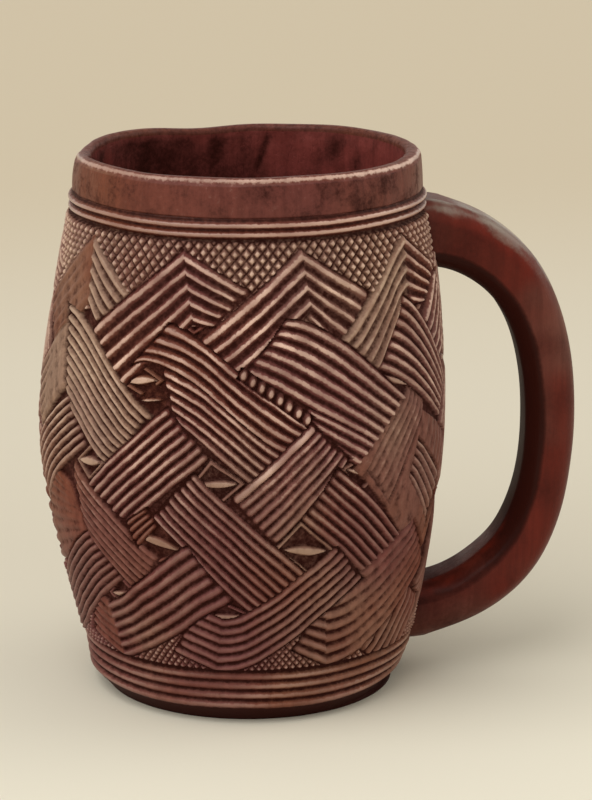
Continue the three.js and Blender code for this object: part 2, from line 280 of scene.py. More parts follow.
# The front of the plait, as the photograph shows it, block by block from the left
FRONT_SPAN = (-79, 74)
FRONT_STRIPS = (
    # the chevrons' right arms, then their left arms
    Strip("chevron", ((-54, 131), (-35.5, 117.3), (-46.5, 108.5), (-52.5, 114)), 5, worn=0.5, tan=0.8),
    Strip("chevron", ((-19.2, 130.8), (1.5, 120.8), (-9, 111.5), (-15, 112.6)), 5),
    Strip("chevron", ((16.8, 131), (39.5, 118.2), (27.8, 104.3), (20, 112)), 5),
    Strip("chevron", ((57, 131), (80, 118.5), (66, 111.5), (56, 113)), 5, worn=0.4),
    Strip("chevron", ((-54, 131), (-84, 109), (-71, 99.5), (-52.5, 114)), 5, worn=0.93, red=0.9),
    Strip("chevron", ((-19.2, 130.8), (-49.5, 107.5), (-35, 94), (-15, 112.6)), 5),
    Strip("chevron", ((16.8, 131), (-12.5, 108), (-1.5, 99.3), (19.4, 115.8)), 4),
    Strip("chevron", ((57, 131), (28, 106), (40.5, 96.5), (56, 113)), 5, (1.5, 3), worn=0.65, tan=0.65),
    # the upper row of blocks, most of them falling to the right
    Strip("rising", ((-90, 86), (-62, 107), (-57, 92), (-78, 74)), 6, worn=0.96, tan=0.95),
    Strip("falling", ((-64, 111.5), (-24.5, 87), (-39.5, 72.5), (-58, 86.5)), 10, (4, 1), worn=0.3, tan=0.8),
    Strip("falling", ((-22, 112), (19.5, 85.5), (12, 78.7), (-33, 100)), 4, (2, 6.5), red=0.15),
    Strip("falling", ((-22.9, 100.1), (11.7, 78.1), (3, 70.3), (-17.5, 86.5)), 5, (2.5, 1)),
    Strip("falling", ((12.5, 113.3), (55.5, 87), (45.5, 75.5), (1, 100)), 6, (3.6, 0.8)),
    Strip("falling", ((18.7, 90.4), (45.2, 75), (39.5, 69.5), (21, 82.5)), 3, (0.5, 0.3)),
    Strip("falling", ((54, 115.5), (84, 86), (76, 78), (42, 98)), 7, (2, 1), tan=0.1),
    # the middle row of blocks, most of them rising to the right
    Strip("falling", ((-90, 76), (-56, 64), (-48, 49), (-84, 34)), 9, worn=0.94, red=0.5),
    Strip("rising", ((-88, 65), (-57.5, 88), (-47.5, 77), (-75, 53)), 7, (1, 2), tan=0.3),
    Strip("rising", ((-47, 66), (-20.5, 90), (-8, 77.5), (-33, 56.5)), 7),
    Strip("bold", ((-1.5, 66.5), (20.5, 86), (21.9, 84.4), (-0.3, 64.8)), 1),
    Strip("rising", ((0, 64.4), (22.3, 84), (32, 75.5), (10.5, 53.5)), 6, worn=0.6),
    Strip("rising", ((34, 72), (51, 88), (84, 72), (68, 36)), 10, worn=0.94, red=0.35, tan=0.15),
    Strip("rising", ((38, 71), (54.5, 90.5), (63, 85), (47, 61)), 5, (1.5, 2), worn=0.86, tan=0.25, red=0.2),
    Strip("falling", ((59, 76), (80, 60), (70, 50), (55, 66)), 5, worn=0.5, tan=0.25),
    # the lower row of blocks
    Strip("falling", ((-54, 71), (-24.5, 48), (-33, 36.5), (-50.5, 52)), 7, worn=0.72, tan=0.1, red=0.3),
    Strip("falling", ((-12.3, 73), (20.5, 43), (3.5, 32.5), (-24.5, 59.8)), 8),
    Strip("falling", ((28.5, 73.5), (58, 46), (45, 36.5), (18, 60)), 7),
    Strip("rising", ((-34, 57), (-26, 62.5), (-23.5, 57.5), (-30.5, 51)), 4, red=0.6),
    # the valleys' left arms, then their right arms
    Strip("valley", ((-53, 34), (-46.5, 31.5), (-44, 16), (-62, 20)), 6, worn=0.85, red=0.5),
    Strip("valley", ((-13.5, 34), (-6, 31.5), (-9.5, 15.8), (-23.5, 20.5)), 6),
    Strip("valley", ((23, 33), (31, 31), (28, 15.8), (16, 21.5)), 5, worn=0.25),
    Strip("rising", ((42, 18), (56, 36), (76, 27), (56, 9)), 6, red=0.1),
    Strip("valley", ((-84, 31), (-50, 52), (-38.5, 40), (-80, 14)), 8, (-1.5, -1.5), tan=0.1),
    Strip("valley", ((-46.5, 31.5), (-15.5, 52.5), (-3, 37), (-44, 16)), 6, (-1.2, -1.8)),
    Strip("valley", ((26, 39), (60, 53), (74, 38), (28, 15.8)), 7, (-2, -3), worn=0.82, red=0.2),
    Strip("valley", ((-6, 31.5), (29, 51), (39, 40), (-9.5, 15.8)), 6, (-2.5, -3.8)),
    # the row of studs that fills the long gap on the upper right
    Strip("studs", ((0, 101.3), (20.4, 87.8), (19.2, 85.2), (-0.9, 98.9)), 8, tan=0.2),
)
FRONT_HOLES = (
    Hole(((-19.5, 112), (-14, 116), (-8.5, 112.8), (-14.5, 109.3)), 1.1),
    Hole(((-36.5, 95.5), (-31, 101.5), (-21.5, 97.5), (-28, 92)), 1.6, tan=0.3, red=0.3),
    Hole(((-30, 91), (-25, 96.5), (-20, 92.5), (-25, 86)), 0.5, red=0.3, framed=False),
    Hole(((39.5, 97), (44, 100.5), (57, 90.5), (53, 86)), 1.2),
    Hole(((-52, 72), (-45, 78), (-39.5, 73), (-46, 66.5)), 1.9, tan=0.8),
    Hole(((-13, 70.5), (-7.5, 77.5), (2.2, 70.5), (-5, 64.5)), 1.4, tan=0.2),
    Hole(((29, 73.5), (36, 75), (42, 68.5), (35, 64.5)), 1.0, tan=0.4),
    Hole(((-33, 55.5), (-22, 62), (-14.5, 50.5), (-26, 46)), 1.8, red=0.5),
    Hole(((9.5, 51.8), (17.5, 60), (28.5, 50.3), (20.5, 43)), 1.9, tan=0.5),
    Hole(((-46, 35), (-39, 41.5), (-33, 36), (-41, 30.5)), 1.2),
    Hole(((-14, 32), (-5, 37), (3.5, 33), (-6, 28.5)), 1.2),
    Hole(((55, 113), (61, 116.5), (66.5, 112.5), (61, 109.5)), 1.2, tan=0.7),
    Hole(((-63, 93), (-58, 99), (-56.5, 94), (-60, 87)), 0.3, framed=False),
)

FLAT = 0.94  # millimetres along the wall for a degree
STRIP_SPREAD = 0.45  # how far a strip's cut edge passes the corners above, in millimetres
STRIP_MARGIN, HOLE_MARGIN = 7, 2  # room for a strip's or a hole's bulging and straying edges
FALLING_BULGE, VALLEY_BULGE = (1.5, 1.5), (-2.5, -3)  # of the even plait
RIDGE_RAGGED, RIDGE_END = 0.9, 0.9  # how unevenly the ridges end, and over what length they round off
STRIP_TIP, STRIP_SIDE = 4.0, 1.6  # over what length a strip dives at its ends and rolls off at its sides
STRIP_DIVE, STRIP_ROLL, STRIP_TILT = 0.5, 0.35, 0.25  # how far it does, and how unlike its neighbours it lies
LEAF_REACH = 0.33  # half the length of a leaf, as a share of its hole
LEAF_DEPTH, FRAME_INSET = 0.4, 0.75  # depth of a leaf's crest, and where the frame runs inside its hole
STUD_LEAN, FOOT_STUD_SHARE = 50, 1.4  # degrees, and how many more studs the foot has than the neck
STUD_DEPTH, STUD_ROW_DEPTH = 0.3, 0.5  # depth of the studs' tips, on the wall and in the row
STUDDED_ABOVE, STUDDED_BELOW = 112, 26
WORN_FLANK, WORN_FADE = 0.8, (72, 90)  # strips worn more than this fade out past the flanks, in degrees


def lattice_place(falling, rising):
    """Degrees from the front and height of a place in the even plait. Whole numbers are middles of strips."""
    row = rising - falling
    turn = math.pi * (falling + rising - 1) / REPEATS
    drift = ROW_DRIFT * row - ROW_RETURN * max(0, row - RETURN_FROM) ** 2
    return math.degrees(turn + FRONT_STRETCH * math.sin(turn)) + drift, float(row_height(row))


def at_front(degrees):
    """Whether a direction belongs to the side that is laid block by block."""
    return FRONT_SPAN[0] < wrapped(degrees) < FRONT_SPAN[1]


def box_round(falling, rising):
    """Offsets of the corners of an area, from its half sizes."""
    return (-falling, -rising), (falling, -rising), (falling, rising), (-falling, rising)


def lattice_strips(ridges):
    """The strips and holes of the even plait, for the sides that the photograph doesn't show."""
    half_f, half_r, h = FALLING_SHARE / 2, RISING_SHARE / 2, TURN_SHARE / 2
    run_f, run_r = 1 - half_r, 1 - half_f
    arm, far = run_f - 0.02, 1 + run_r
    strips, holes = [], []

    def corners_at(falling, rising, offsets):
        return tuple(lattice_place(falling + f, rising + r) for f, r in offsets)

    def lay(kind, number, falling, rising, *offsets, bulge=(0, 0)):
        corners = corners_at(falling, rising, offsets)
        if not at_front(sum(degrees for degrees, _ in corners) / 4):
            worn, tan = 0.1 + 0.5 * mixed(7, number) ** 3, 0.5 * mixed(8, number) ** 3
            strips.append(Strip(kind, corners, ridges[kind], bulge, worn, tan))

    for f in range(REPEATS):
        lay("chevron", f, f, f, (h, -h), (h, arm), (-h, arm), (-h, h))
        lay("valley", f + 50, f - ROWS, f, (h, -arm), (h, -h), (-h, h), (-h, -arm))
    for r in range(REPEATS):
        lay("chevron", r + 10, r, r, (h, -h), (-far, -h), (-far, h), (-h, h))
        lay("valley", r + 60, r - ROWS, r, (h, -h), (far, -h), (far, h), (-h, h), bulge=VALLEY_BULGE)
        for row in (2, 4):
            spots = (half_f, -run_f), (half_f, run_f), (-half_f, run_f), (-half_f, -run_f)
            lay("falling", r + 20 * row, r - row, r, *spots, bulge=FALLING_BULGE)
        lay("rising", r + 90, r - 3, r, *box_round(run_r, half_r))
        for row in range(1, ROWS):
            corners = corners_at(r - row - 0.5, r - 0.5, box_round(0.5 - half_f, 0.5 - half_r))
            if not at_front(corners[0][0]):
                holes.append(Hole(corners, 1.0 + 0.5 * mixed(9, r + 10 * row)))
    return strips, holes


def unrolled(corners):
    """Corners as places on the unrolled wall, in millimetres."""
    return [np.array((FLAT * degrees, height)) for degrees, height in corners]


def place_in(corners, bulge, across, up):
    """The place of points in a four-sided area: the share along its ridges and the share across them. Each
    step comes nearer, as the sides aren't parallel and the ridges bulge. A point with no place gets -1."""
    a, b, c, d = unrolled(corners)
    u, v = np.full(across.shape, 0.5), np.full(across.shape, 0.5)
    for _ in range(6):
        rise = bulge[0] * (1 - v) + bulge[1] * v
        # the bulge is highest, at 1, a third of the way along
        shape, slope = 6.75 * u * (1 - u) ** 2, 6.75 * (1 - u) * (1 - 3 * u)
        shares = (1 - u) * (1 - v), u * (1 - v), u * v, (1 - u) * v
        x, y = (sum(share * corner[k] for share, corner in zip(shares, (a, b, c, d))) for k in (0, 1))
        x, y = x - across, y + rise * shape - up
        xu, yu = ((1 - v) * (b[k] - a[k]) + v * (c[k] - d[k]) for k in (0, 1))
        xv, yv = ((1 - u) * (d[k] - a[k]) + u * (c[k] - b[k]) for k in (0, 1))
        yu, yv = yu + rise * slope, yv + (bulge[1] - bulge[0]) * shape
        det = xu * yv - xv * yu
        det = np.where(np.abs(det) < 1e-3, 1e-3, det)
        u = np.clip(u - (x * yv - y * xv) / det, -0.6, 1.6)
        v = np.clip(v - (y * xu - x * yu) / det, -0.6, 1.6)
    missed = np.hypot(x, y) > 0.3
    return np.where(missed, -1, u), v


def span_of(corners):
    """Middle length and middle width of a four-sided area in millimetres."""
    a, b, c, d = unrolled(corners)
    return np.linalg.norm((b + c - a - d) / 2), np.linalg.norm((c + d - a - b) / 2)


def ridge_profile(kind, ridge, away):
    """Height share and crest mask across the ridges, from their middles to the grooves. A chevron's ridges
    are thin, with flat grooves between, and its first one is broader."""
    if kind == "chevron":
        away = away / (1 + 0.3 * (ridge == 0))
        share = 1 - smooth(0.16, 0.62, away) * 0.93 - 0.07 * smooth(0.5, 1, away)
        return share, 1 - 0.76 * smooth(0, 0.78, away)
    flat_top = 0.3 if kind == "bold" else 0
    return 1 - smooth(0.12, 0.98, away), 1 - 0.84 * smooth(flat_top, 1, away)


def paint(layers, near, **values):
    """Sets the named layers at some points."""
    for name, value in values.items():
        layers[name][near] = value


class Relief:
    """The carving of the wall as a depth below the crests, with the masks that the finish reads."""

    def __init__(self, settings):
        self.groove = settings.groove / MM
        self.pit = settings.pit / MM
        self.waver = settings.waver / MM
        self.stud_pitch = settings.stud_pitch / MM
        kinds = ("falling", "rising", "chevron", "valley")
        strips, holes = lattice_strips({kind: getattr(settings, kind + "_ridges") for kind in kinds})
        self.strips = strips + list(FRONT_STRIPS)
        self.holes = holes + list(FRONT_HOLES)

    def strayed(self, angle, z):
        """The place that the carver aimed for, which is a little off the place that the knife cut, as degrees
        to the right of the front and a height."""
        sideways = self.waver * (wander(angle, z, 11, 22, 26) + 0.3 * wander(angle, z, 12, 70, 9))
        upward = self.waver * (wander(angle, z, 13, 22, 26) + 0.3 * wander(angle, z, 14, 70, 9))
        turned = np.degrees(angle) - FRONT_ANGLE + sideways / FLAT
        return wrapped(turned), z + upward

    def studs(self, angle, z):
        """Height share of the small pointed studs, cut by two families of slanting grooves. Those at the foot
        are finer than those under the neck."""
        lean = math.radians(STUD_LEAN)
        around = round(2 * math.pi * NECK_RADIUS * math.sin(lean) / self.stud_pitch)
        finer = np.where(z < PLAIT_MIDDLE, FOOT_STUD_SHARE, 1)
        up = z * math.cos(lean) / self.stud_pitch * finer
        turned = np.where(z < PLAIT_MIDDLE, round(around * FOOT_STUD_SHARE), around) * angle / (2 * math.pi)
        return 1 - smooth(0.1, 1.0, np.maximum(from_ridge(up + turned), from_ridge(up - turned)))

    def area(self, corners, turned, z, margin, bulge=(0, 0), spread=0):
        """The points inside a four-sided area, widened by a spread: their numbers, their shares along and
        across the ridges, their places on the unrolled wall, and the area's length and width."""
        length, width = span_of(corners)
        degrees, heights = zip(*corners)
        middle, half = (max(degrees) + min(degrees)) / 2, (max(degrees) - min(degrees)) / 2
        beside = np.abs(wrapped(turned - middle)) < half + margin
        near = np.flatnonzero(beside & (z > min(heights) - margin) & (z < max(heights) + margin))
        middle = sum(degrees) / len(degrees)
        across, up = FLAT * (wrapped(turned[near] - middle) + middle), z[near]
        shares = zip(place_in(corners, bulge, across, up), (length, width))
        u, v = (0.5 + (share - 0.5) / (1 + 2 * spread / size) for share, size in shares)
        inside = (u > 0) & (u < 1) & (v > 0) & (v < 1)
        return near[inside], u[inside], v[inside], across[inside], up[inside], length, width

    def lay_strip(self, strip, number, turned, z, layers):
        """Draws one strip into the layers."""
        spots = self.area(strip.corners, turned, z, STRIP_MARGIN, strip.bulge, STRIP_SPREAD)
        near, u, v, _, height, length, width = spots
        beside = turned[near]
        if strip.kind == "studs":
            share = 1 - smooth(0.2, 1.0, np.hypot(from_ridge(u * strip.ridges), 0.8 * np.abs(2 * v - 1)))
            raised = -self.pit + (self.pit - STUD_ROW_DEPTH) * share
            paint(layers, near, height=raised, crest=0.2 + 0.75 * share, tan=strip.tan * share, pale=0.9)
            return
        ridge, away = np.floor(v * strip.ridges), from_ridge(v * strip.ridges)
        start, end = (RIDGE_RAGGED * mixed(seed + number, ridge) for seed in (3, 4))
        left = np.minimum(u * length - start, (1 - u) * length - end)
        if strip.kind in ("chevron", "valley"):
            mitred_first = strip.kind == "chevron" or strip.bulge[0] < 0
            to_mitre = (u if mitred_first else 1 - u) * length
            left = np.where(to_mitre < length / 2, np.inf, left)
        half_pitch = width / strip.ridges / 2
        away = np.hypot(away, np.maximum(0, RIDGE_END - left) / half_pitch)
        share, crest = ridge_profile(strip.kind, ridge, away)

        tip = 1 - smooth(0, STRIP_TIP, left)
        side = 1 - smooth(0, STRIP_SIDE, np.minimum(v, 1 - v) * width)
        tilt = STRIP_TILT * (mixed(6, number) - 0.5)
        sunk = 0.08 + STRIP_DIVE * tip + STRIP_ROLL * side + 0.1 * strip.worn - tilt
        patch = 1 - smooth(*WORN_FADE, np.abs(wrapped(beside))) if strip.worn > WORN_FLANK else 1
        rubbed = strip.worn * patch * (smooth(0, 0.3, u) if strip.kind == "valley" else 1)
        kept = np.clip(1 - rubbed**3 + 0.08 * wander(np.radians(beside), height, 17, 24, 14), 0.05, 1)
        deep = self.groove * (0.85 + 0.3 * mixed(5, number))

        smeared = 0.58 + 0.08 * wander(np.radians(beside), height, 18, 90, 5)
        upper = 0.78 if strip.kind == "bold" else 0.13 + 0.87 * smooth(38, 104, height)
        faded = (1 - 0.5 * strip.red) * (1 - 0.5 * strip.worn**4) * (1 - 0.25 * tip)
        uneven = 0.75 + 0.25 * mixed(15 + number, ridge)
        crest = smeared + (crest - smeared) * kept
        paint(layers, near, height=-deep * (1 - share) * kept - sunk, crest=crest)
        paint(layers, near, pale=upper * faded * uneven, tan=strip.tan * patch, red=strip.red * patch)

    def cut_hole(self, hole, turned, z, layers):
        """Draws one hole into the layers: a dark floor, a thin frame and a leaf."""
        near, u, v, across, up, length, width = self.area(hole.corners, turned, z, HOLE_MARGIN)
        edge = np.minimum(np.minimum(u, 1 - u) * length, np.minimum(v, 1 - v) * width)
        frame_line = hole.framed * (1 - smooth(0.2, 0.62, np.abs(edge - FRAME_INSET)))
        left, _, right, _ = unrolled(hole.corners)
        reach = right - left
        along = ((across - left[0]) * reach[0] + (up - left[1]) * reach[1]) / reach.dot(reach) - 0.5
        off = ((across - left[0]) * reach[1] - (up - left[1]) * reach[0]) / np.linalg.norm(reach)
        half_height = hole.leaf * np.clip(1 - (along / LEAF_REACH) ** 2, 0.02, 1)
        leaf = (1 - smooth(0.35, 1.0, np.abs(off) / half_height)) * (np.abs(along) < LEAF_REACH)
        cut = np.maximum(0.85 * frame_line, leaf)
        crest = np.maximum(0.27, np.maximum(0.72 * frame_line, 0.93 * leaf))
        pale = 0.2 + (0.15 + 0.55 * smooth(45, 95, up)) * leaf
        tan = np.maximum(hole.tan, 0.5 * leaf) * cut
        height = -self.pit + (self.pit - LEAF_DEPTH) * cut
        paint(layers, near, height=height, crest=crest, pale=pale, tan=tan, red=hole.red)

    def at(self, angle, z):
        """Layers of the carving at each place: height below the crests in millimetres, and the masks."""
        turned, level = (values.ravel() for values in self.strayed(angle, z))
        studded, upper = (level > STUDDED_ABOVE) | (level < STUDDED_BELOW), level > PLAIT_MIDDLE
        stud = self.studs(np.radians(turned + FRONT_ANGLE), level)
        layers = {
            "height": np.where(studded, -STUD_DEPTH - self.groove * (1 - stud), -self.pit * 0.8),
            "crest": np.where(studded, 0.22 + 0.78 * stud**0.7, 0.27),
            "pale": np.where(upper, 1.0, 0.35),
            "tan": np.where(studded & upper, 0.3, 0.0),
            "red": np.zeros(level.shape),
        }
        for hole in self.holes:
            self.cut_hole(hole, turned, level, layers)
        for number, strip in enumerate(self.strips):
            self.lay_strip(strip, number, turned, level, layers)
        layers["pale"] *= np.clip(0.82 + 0.2 * wander(np.radians(turned), level, 16, 70, 7), 0.4, 1.1)
        return {name: values.reshape(angle.shape) for name, values in layers.items()}


def ridge_rings(z, foot, pitch, count):
    """Height share of a stack of rings: 1 on each crest and 0 in the grooves."""
    place = (z - foot) / pitch
    return np.where((place > 0) & (place < count), 1 - smooth(0.1, 1.0, from_ridge(place)), 0)


def right_end(angle):
    """1 at the cup's right end as the photograph shows it, fading to 0 round both sides."""
    return bell(*LIP_FLARE_PLACE, from_front(angle))


def foot_radius(angle, z, share):
    """Radius of the foot, undercut below its ridges and rubbed away on the right."""
    crest = FOOT_RIDGE_RADIUS - FOOT_RIDGE_TAPER * (FOOT_TOP_HEIGHT - z)
    under = BASE_RADIUS + (crest - FOOT_RIDGE_DEPTH - BASE_RADIUS) * (z / UNDERCUT_HEIGHT)
    radius = np.where(z < UNDERCUT_HEIGHT, under, crest - FOOT_RIDGE_DEPTH * (1 - share))
    worn = bell(*FOOT_WEAR_PLACE, from_front(angle)) * (1 - smooth(*FOOT_WEAR_HEIGHTS, z)) * smooth(0, 1, z)
    return radius - FOOT_WEAR * worn


def band_radius(angle, z):
    """Radius of the plain band under the lip. Its foot is cut in a little."""
    climb = (z - BAND_FOOT) / (CUP_HEIGHT - BAND_FOOT)
    radius = BAND_RADIUS + (LIP_RADIUS - BAND_RADIUS + LIP_FLARE * right_end(angle)) * climb**2
    radius = radius - BAND_CUT * (1 - smooth(0, 0.5, z - BAND_FOOT))
    return radius - BAND_WAVER * (1 + wander(angle, z, 32, 30, 30))


def outer_skin(relief, angle, z):
    """Radius of the cup's outside and its masks, at an angle and height."""
    layers = relief.at(angle, z)
    from_edge = smooth(0, 0.6, np.minimum(z - FIELD_FOOT, FIELD_TOP - z))
    wall = wall_radius(np.clip(z, FOOT_TOP_HEIGHT, NECK_HEIGHT))
    carved = wall + layers["height"] * from_edge - FIELD_EDGE_DEPTH * (1 - from_edge)
    level = z + RING_WAVER * wander(angle, z, 31, 7, 400)
    foot_pitch = (FOOT_TOP_HEIGHT - UNDERCUT_HEIGHT) / FOOT_RIDGES
    foot_share = ridge_rings(level, UNDERCUT_HEIGHT, foot_pitch, FOOT_RIDGES)
    ring_foot = BAND_FOOT - BAND_EDGE - NECK_RIDGES * NECK_RIDGE_PITCH
    ring_share = ridge_rings(level, ring_foot, NECK_RIDGE_PITCH, NECK_RIDGES)
    rings = NECK_RIDGE_RADIUS - NECK_RIDGE_DEPTH * (1 - ring_share)

    def by_zone(*values):
        """The first value on the carved wall, then those of the foot, the neck's rings and the plain band."""
        zones = (z > FIELD_FOOT) & (z < FIELD_TOP), z <= FIELD_FOOT, z < BAND_FOOT
        return np.select(zones, values[:3], values[3])

    turned = from_front(angle)
    band_crest = 0.55 + 0.09 * wander(angle, z, 37, 18, 9) + 0.05 * wander(angle, z, 39, 60, 60)
    band_crest = np.minimum(band_crest + 0.05 * bell(-5, 25, turned) - 0.08 * bell(45, 18, turned), 0.62)
    # Under the foot's ridges the undercut is painted near-black: a painted shadow under the foot.
    foot_crest = np.where(z < UNDERCUT_HEIGHT, 0.05, 0.16 + 0.78 * foot_share)
    foot_pale = 0.17 + 0.12 * wander(angle, z, 40, 9, 12)
    # A painted highlight on the band's right end, where the light from the right catches it.
    band_end_glint, plain_red = 0.25 * smooth(0.75, 1, np.cos(angle)), 0.55 * smooth(-0.1, 0.9, -np.cos(angle))
    wall_crest = layers["crest"] * (0.3 + 0.7 * from_edge)
    masks = {
        "crest": by_zone(wall_crest, foot_crest, 0.26 + 0.74 * ring_share, band_crest),
        "pale": by_zone(layers["pale"], foot_pale, 1.0, 0.3),
        "tan": by_zone(layers["tan"], 0.0, 0.45, band_end_glint),
        "red": by_zone(layers["red"], 0.35, plain_red, plain_red),
    }
    return by_zone(carved, foot_radius(angle, z, foot_share), rings, band_radius(angle, z)), masks


# The drying crack in the far side of the hollow. Its place and half width are degrees round the cup, its
# slant is degrees for each millimetre down, and its foot and depth are millimetres.
CRACK_TOP_ANGLE, CRACK_SLANT, CRACK_HALF_WIDTH, CRACK_FOOT, CRACK_DEPTH = 75.2, 0.46, 1.1, 134, 0.5
# Where the lip dips: degrees from the front, half width in degrees and depth in millimetres
LIP_DIPS = ((-91, 19, 1.25), (-160, 17, 1.4), (176, 22, 0.6), (-28, 30, 0.35), (48, 26, 0.3))


def lip_drop(angle):
    """How far the uneven lip lies below the cup's full height."""
    drop = 0.22 + 0.06 * np.sin(7 * angle) + 0.05 * np.sin(11 * angle + 1)
    for centre, width, depth in LIP_DIPS:
        drop = drop + depth * bell(0, width, wrapped(np.degrees(angle) - FRONT_ANGLE - centre))
    return drop


def lowered(angle, z):
    """Heights of the rim once the lip's dips are cut. They fade out at the foot of the band."""
    return z - lip_drop(angle)[None] * smooth(DIPS_FOOT, CUP_HEIGHT, z)


def grid_faces(rows, columns, start):
    """Corner numbers of the quads of a closed band, row by row."""
    row, column = np.meshgrid(np.arange(rows - 1), np.arange(columns), indexing="ij")
    after = (column + 1) % columns
    a, b = row * columns + column, row * columns + after
    return np.stack([a, b, b + columns, a + columns], -1).reshape(-1, 4) + start


class MeshDraft:
    """Vertices, faces and masks gathered for one mesh."""

    def __init__(self):
        self.points, self.faces, self.places, self.slots = [], [], [], []
        self.masks = {}
        self.count = 0

    def add_points(self, points, places, **masks):
        """Adds rows of points, with their places on the map and their masks, and gives the first's number."""
        first = self.count
        flat = points.reshape(-1, 3)
        self.points.append(flat)
        self.places.append(places.reshape(-1, 2))
        for name in {**self.masks, **masks}:
            value = np.broadcast_to(masks.get(name, 0.0), points.shape[:-1]).reshape(-1)
            self.masks.setdefault(name, [np.zeros(first)] if first else []).append(value)
        self.count += len(flat)
        return first

    def add_faces(self, corners, slot=0):
        """Adds faces with as many corners each, and the slot of their material."""
        self.faces.append(corners)
        self.slots.append(np.full(len(corners), slot))

    def close(self, start, count, point, up, slot=0, inward=False, **masks):
        """Closes a ring of points with triangles to a point in its middle, placed at a height on the map."""
        middle = self.add_points(np.reshape(point, (1, 1, 3)), np.array([[[0.5, up]]]), **masks)
        place = np.arange(count)
        faces = np.stack([start + place, start + (place + 1) % count, np.full(count, middle)], -1)
        self.add_faces(faces[:, ::-1] if inward else faces, slot)

    def build(self, name, materials):
        """The finished object, smooth, with its masks as attributes and its map."""
        mesh = bpy.data.meshes.new(name)
        points = np.concatenate(self.points).astype(np.float32)
        sizes = np.concatenate([np.full(len(f), f.shape[1]) for f in self.faces])
        corners = np.concatenate([f.reshape(-1) for f in self.faces]).astype(np.int32)
        starts = np.concatenate([[0], np.cumsum(sizes)[:-1]]).astype(np.int32)
        mesh.vertices.add(len(points))
        mesh.vertices.foreach_set("co", points.ravel())
        mesh.loops.add(len(corners))
        mesh.loops.foreach_set("vertex_index", corners)
        mesh.polygons.add(len(starts))
        mesh.polygons.foreach_set("loop_start", starts)
        mesh.polygons.foreach_set("material_index", np.concatenate(self.slots).astype(np.int32))
        mesh.polygons.foreach_set("use_smooth", np.ones(len(starts), bool))
        for mask, values in self.masks.items():
            attribute = mesh.attributes.new(mask, "FLOAT", "POINT")
            attribute.data.foreach_set("value", np.concatenate(values).astype(np.float32))
        places = np.concatenate(self.places)[corners]
        face = np.repeat(np.arange(len(sizes)), sizes)
        highest = np.zeros(len(sizes))
        np.maximum.at(highest, face, places[:, 0])
        # a face over the map's seam takes its far corners from one width on
        places[:, 0] += highest[face] - places[:, 0] > 0.5
        layer = mesh.uv_layers.new(name="OFBake")
        layer.data.foreach_set("uv", places.astype(np.float32).ravel())
        for material in materials:
            mesh.materials.append(material)
        mesh.update(calc_edges=True)
        if mesh.validate():
            raise RuntimeError(f"{name} has broken faces")
        made = bpy.data.objects.new(name, mesh)
        bpy.context.scene.collection.objects.link(made)
        return made


def round_points(radius, angle, z):
    """Points in metres at a radius, angle and height in millimetres."""
    x = radius * np.cos(angle) + bow_at(z)
    y = radius * np.sin(angle)
    return np.stack(np.broadcast_arrays(x, y, z), -1) * MM


def hollow_profile():
    """Radius and height of the hollow from under the lip to the floor, with even steps."""
    fillet_top = FLOOR + FLOOR_FILLET
    down = np.linspace(LIP_INSIDE, fillet_top, 48)
    straight = wall_radius(np.minimum(down, NECK_HEIGHT)) - WALL
    blended = straight + (LIP_INNER_RADIUS - straight) * smooth(NECK_HEIGHT, LIP_INSIDE, down)
    turn = np.linspace(0, math.pi / 2, 9)[1:]
    corner = straight[-1] - FLOOR_FILLET
    flat = corner * np.array(FLOOR_RINGS)
    radius = np.concatenate([blended, corner + FLOOR_FILLET * np.cos(turn), flat])
    height = np.concatenate([down, fillet_top - FLOOR_FILLET * np.sin(turn), np.full(len(flat), FLOOR)])
    return radius, height


CARVED, PLAIN, INSIDE = range(3)
# Where the map of the texture keeps the outside, the hollow and the base, as shares of its height
MAP_OUTSIDE, MAP_HOLLOW, MAP_FLOOR = (0.34, 1.0), (0.31, 0.06), 0.02
MAP_BASE, MAP_BASE_MIDDLE = (0.05, 0.035, 0.02, 0.008), 0.002
MAP_HANDLE, MAP_HANDLE_ENDS = (0.02, 0.98), (0.01, 0.99)
BASE_RINGS, FLOOR_RINGS = (0.97, 0.8, 0.5, 0.2), (0.75, 0.5, 0.25)  # shares of the radius


def evenly(count):
    """Angles of points evenly round a ring."""
    return np.arange(count) * 2 * math.pi / count


def on_map(angle, share):
    """Places on the map of the texture: round the cup, and a share of its height for each ring."""
    return np.stack(np.broadcast_arrays(angle / (2 * math.pi), np.reshape(share, (-1, 1))), -1)


def wall_heights(step):
    """Heights of the rings of points up the outside, closest where the cuts are finest."""
    edges, shares = (0, FIELD_FOOT, FIELD_TOP, DIPS_FOOT, LIP_FOOT), (0.6, 0.74, 0.6, 1)
    spans = []
    for low, high, share in zip(edges, edges[1:], shares):
        spans.append(np.linspace(low, high, round((high - low) / (step * share)), endpoint=high == LIP_FOOT))
    return np.concatenate(spans)


def lip_rings(angle):
    """Radius, height and masks of the rings of points over the lip, from its outside to its inside."""
    turn = np.linspace(0, math.pi, 17)[1:, None]
    middle, half = (LIP_RADIUS + LIP_INNER_RADIUS) / 2, (LIP_RADIUS - LIP_INNER_RADIUS) / 2
    across, rise = corner_curve(turn, 0.72)
    dent = LIP_DENT * wander(angle[None], 0, 33, 40, 50)
    wider = LIP_FLARE * right_end(angle)[None] - LIP_INSET
    radius = middle + (half + dent) * across + wider * (1 + across) / 2
    rubbed = np.clip(0.75 + 0.25 * wander(angle[None], 0, 38, 14, 50), 0, 1)
    z = LIP_FOOT + LIP_ROUND * rise + np.zeros_like(angle)
    # The crest mask paints a pale line on the lip's outer top edge: partly wear, partly a painted highlight.
    masks = {"crest": 0.5 + 0.45 * bell(0.66, 0.5, turn), "pale": rubbed, "tan": 0.0, "red": 0.3}
    return radius, z, {name: mask + np.zeros_like(z) for name, mask in masks.items()}


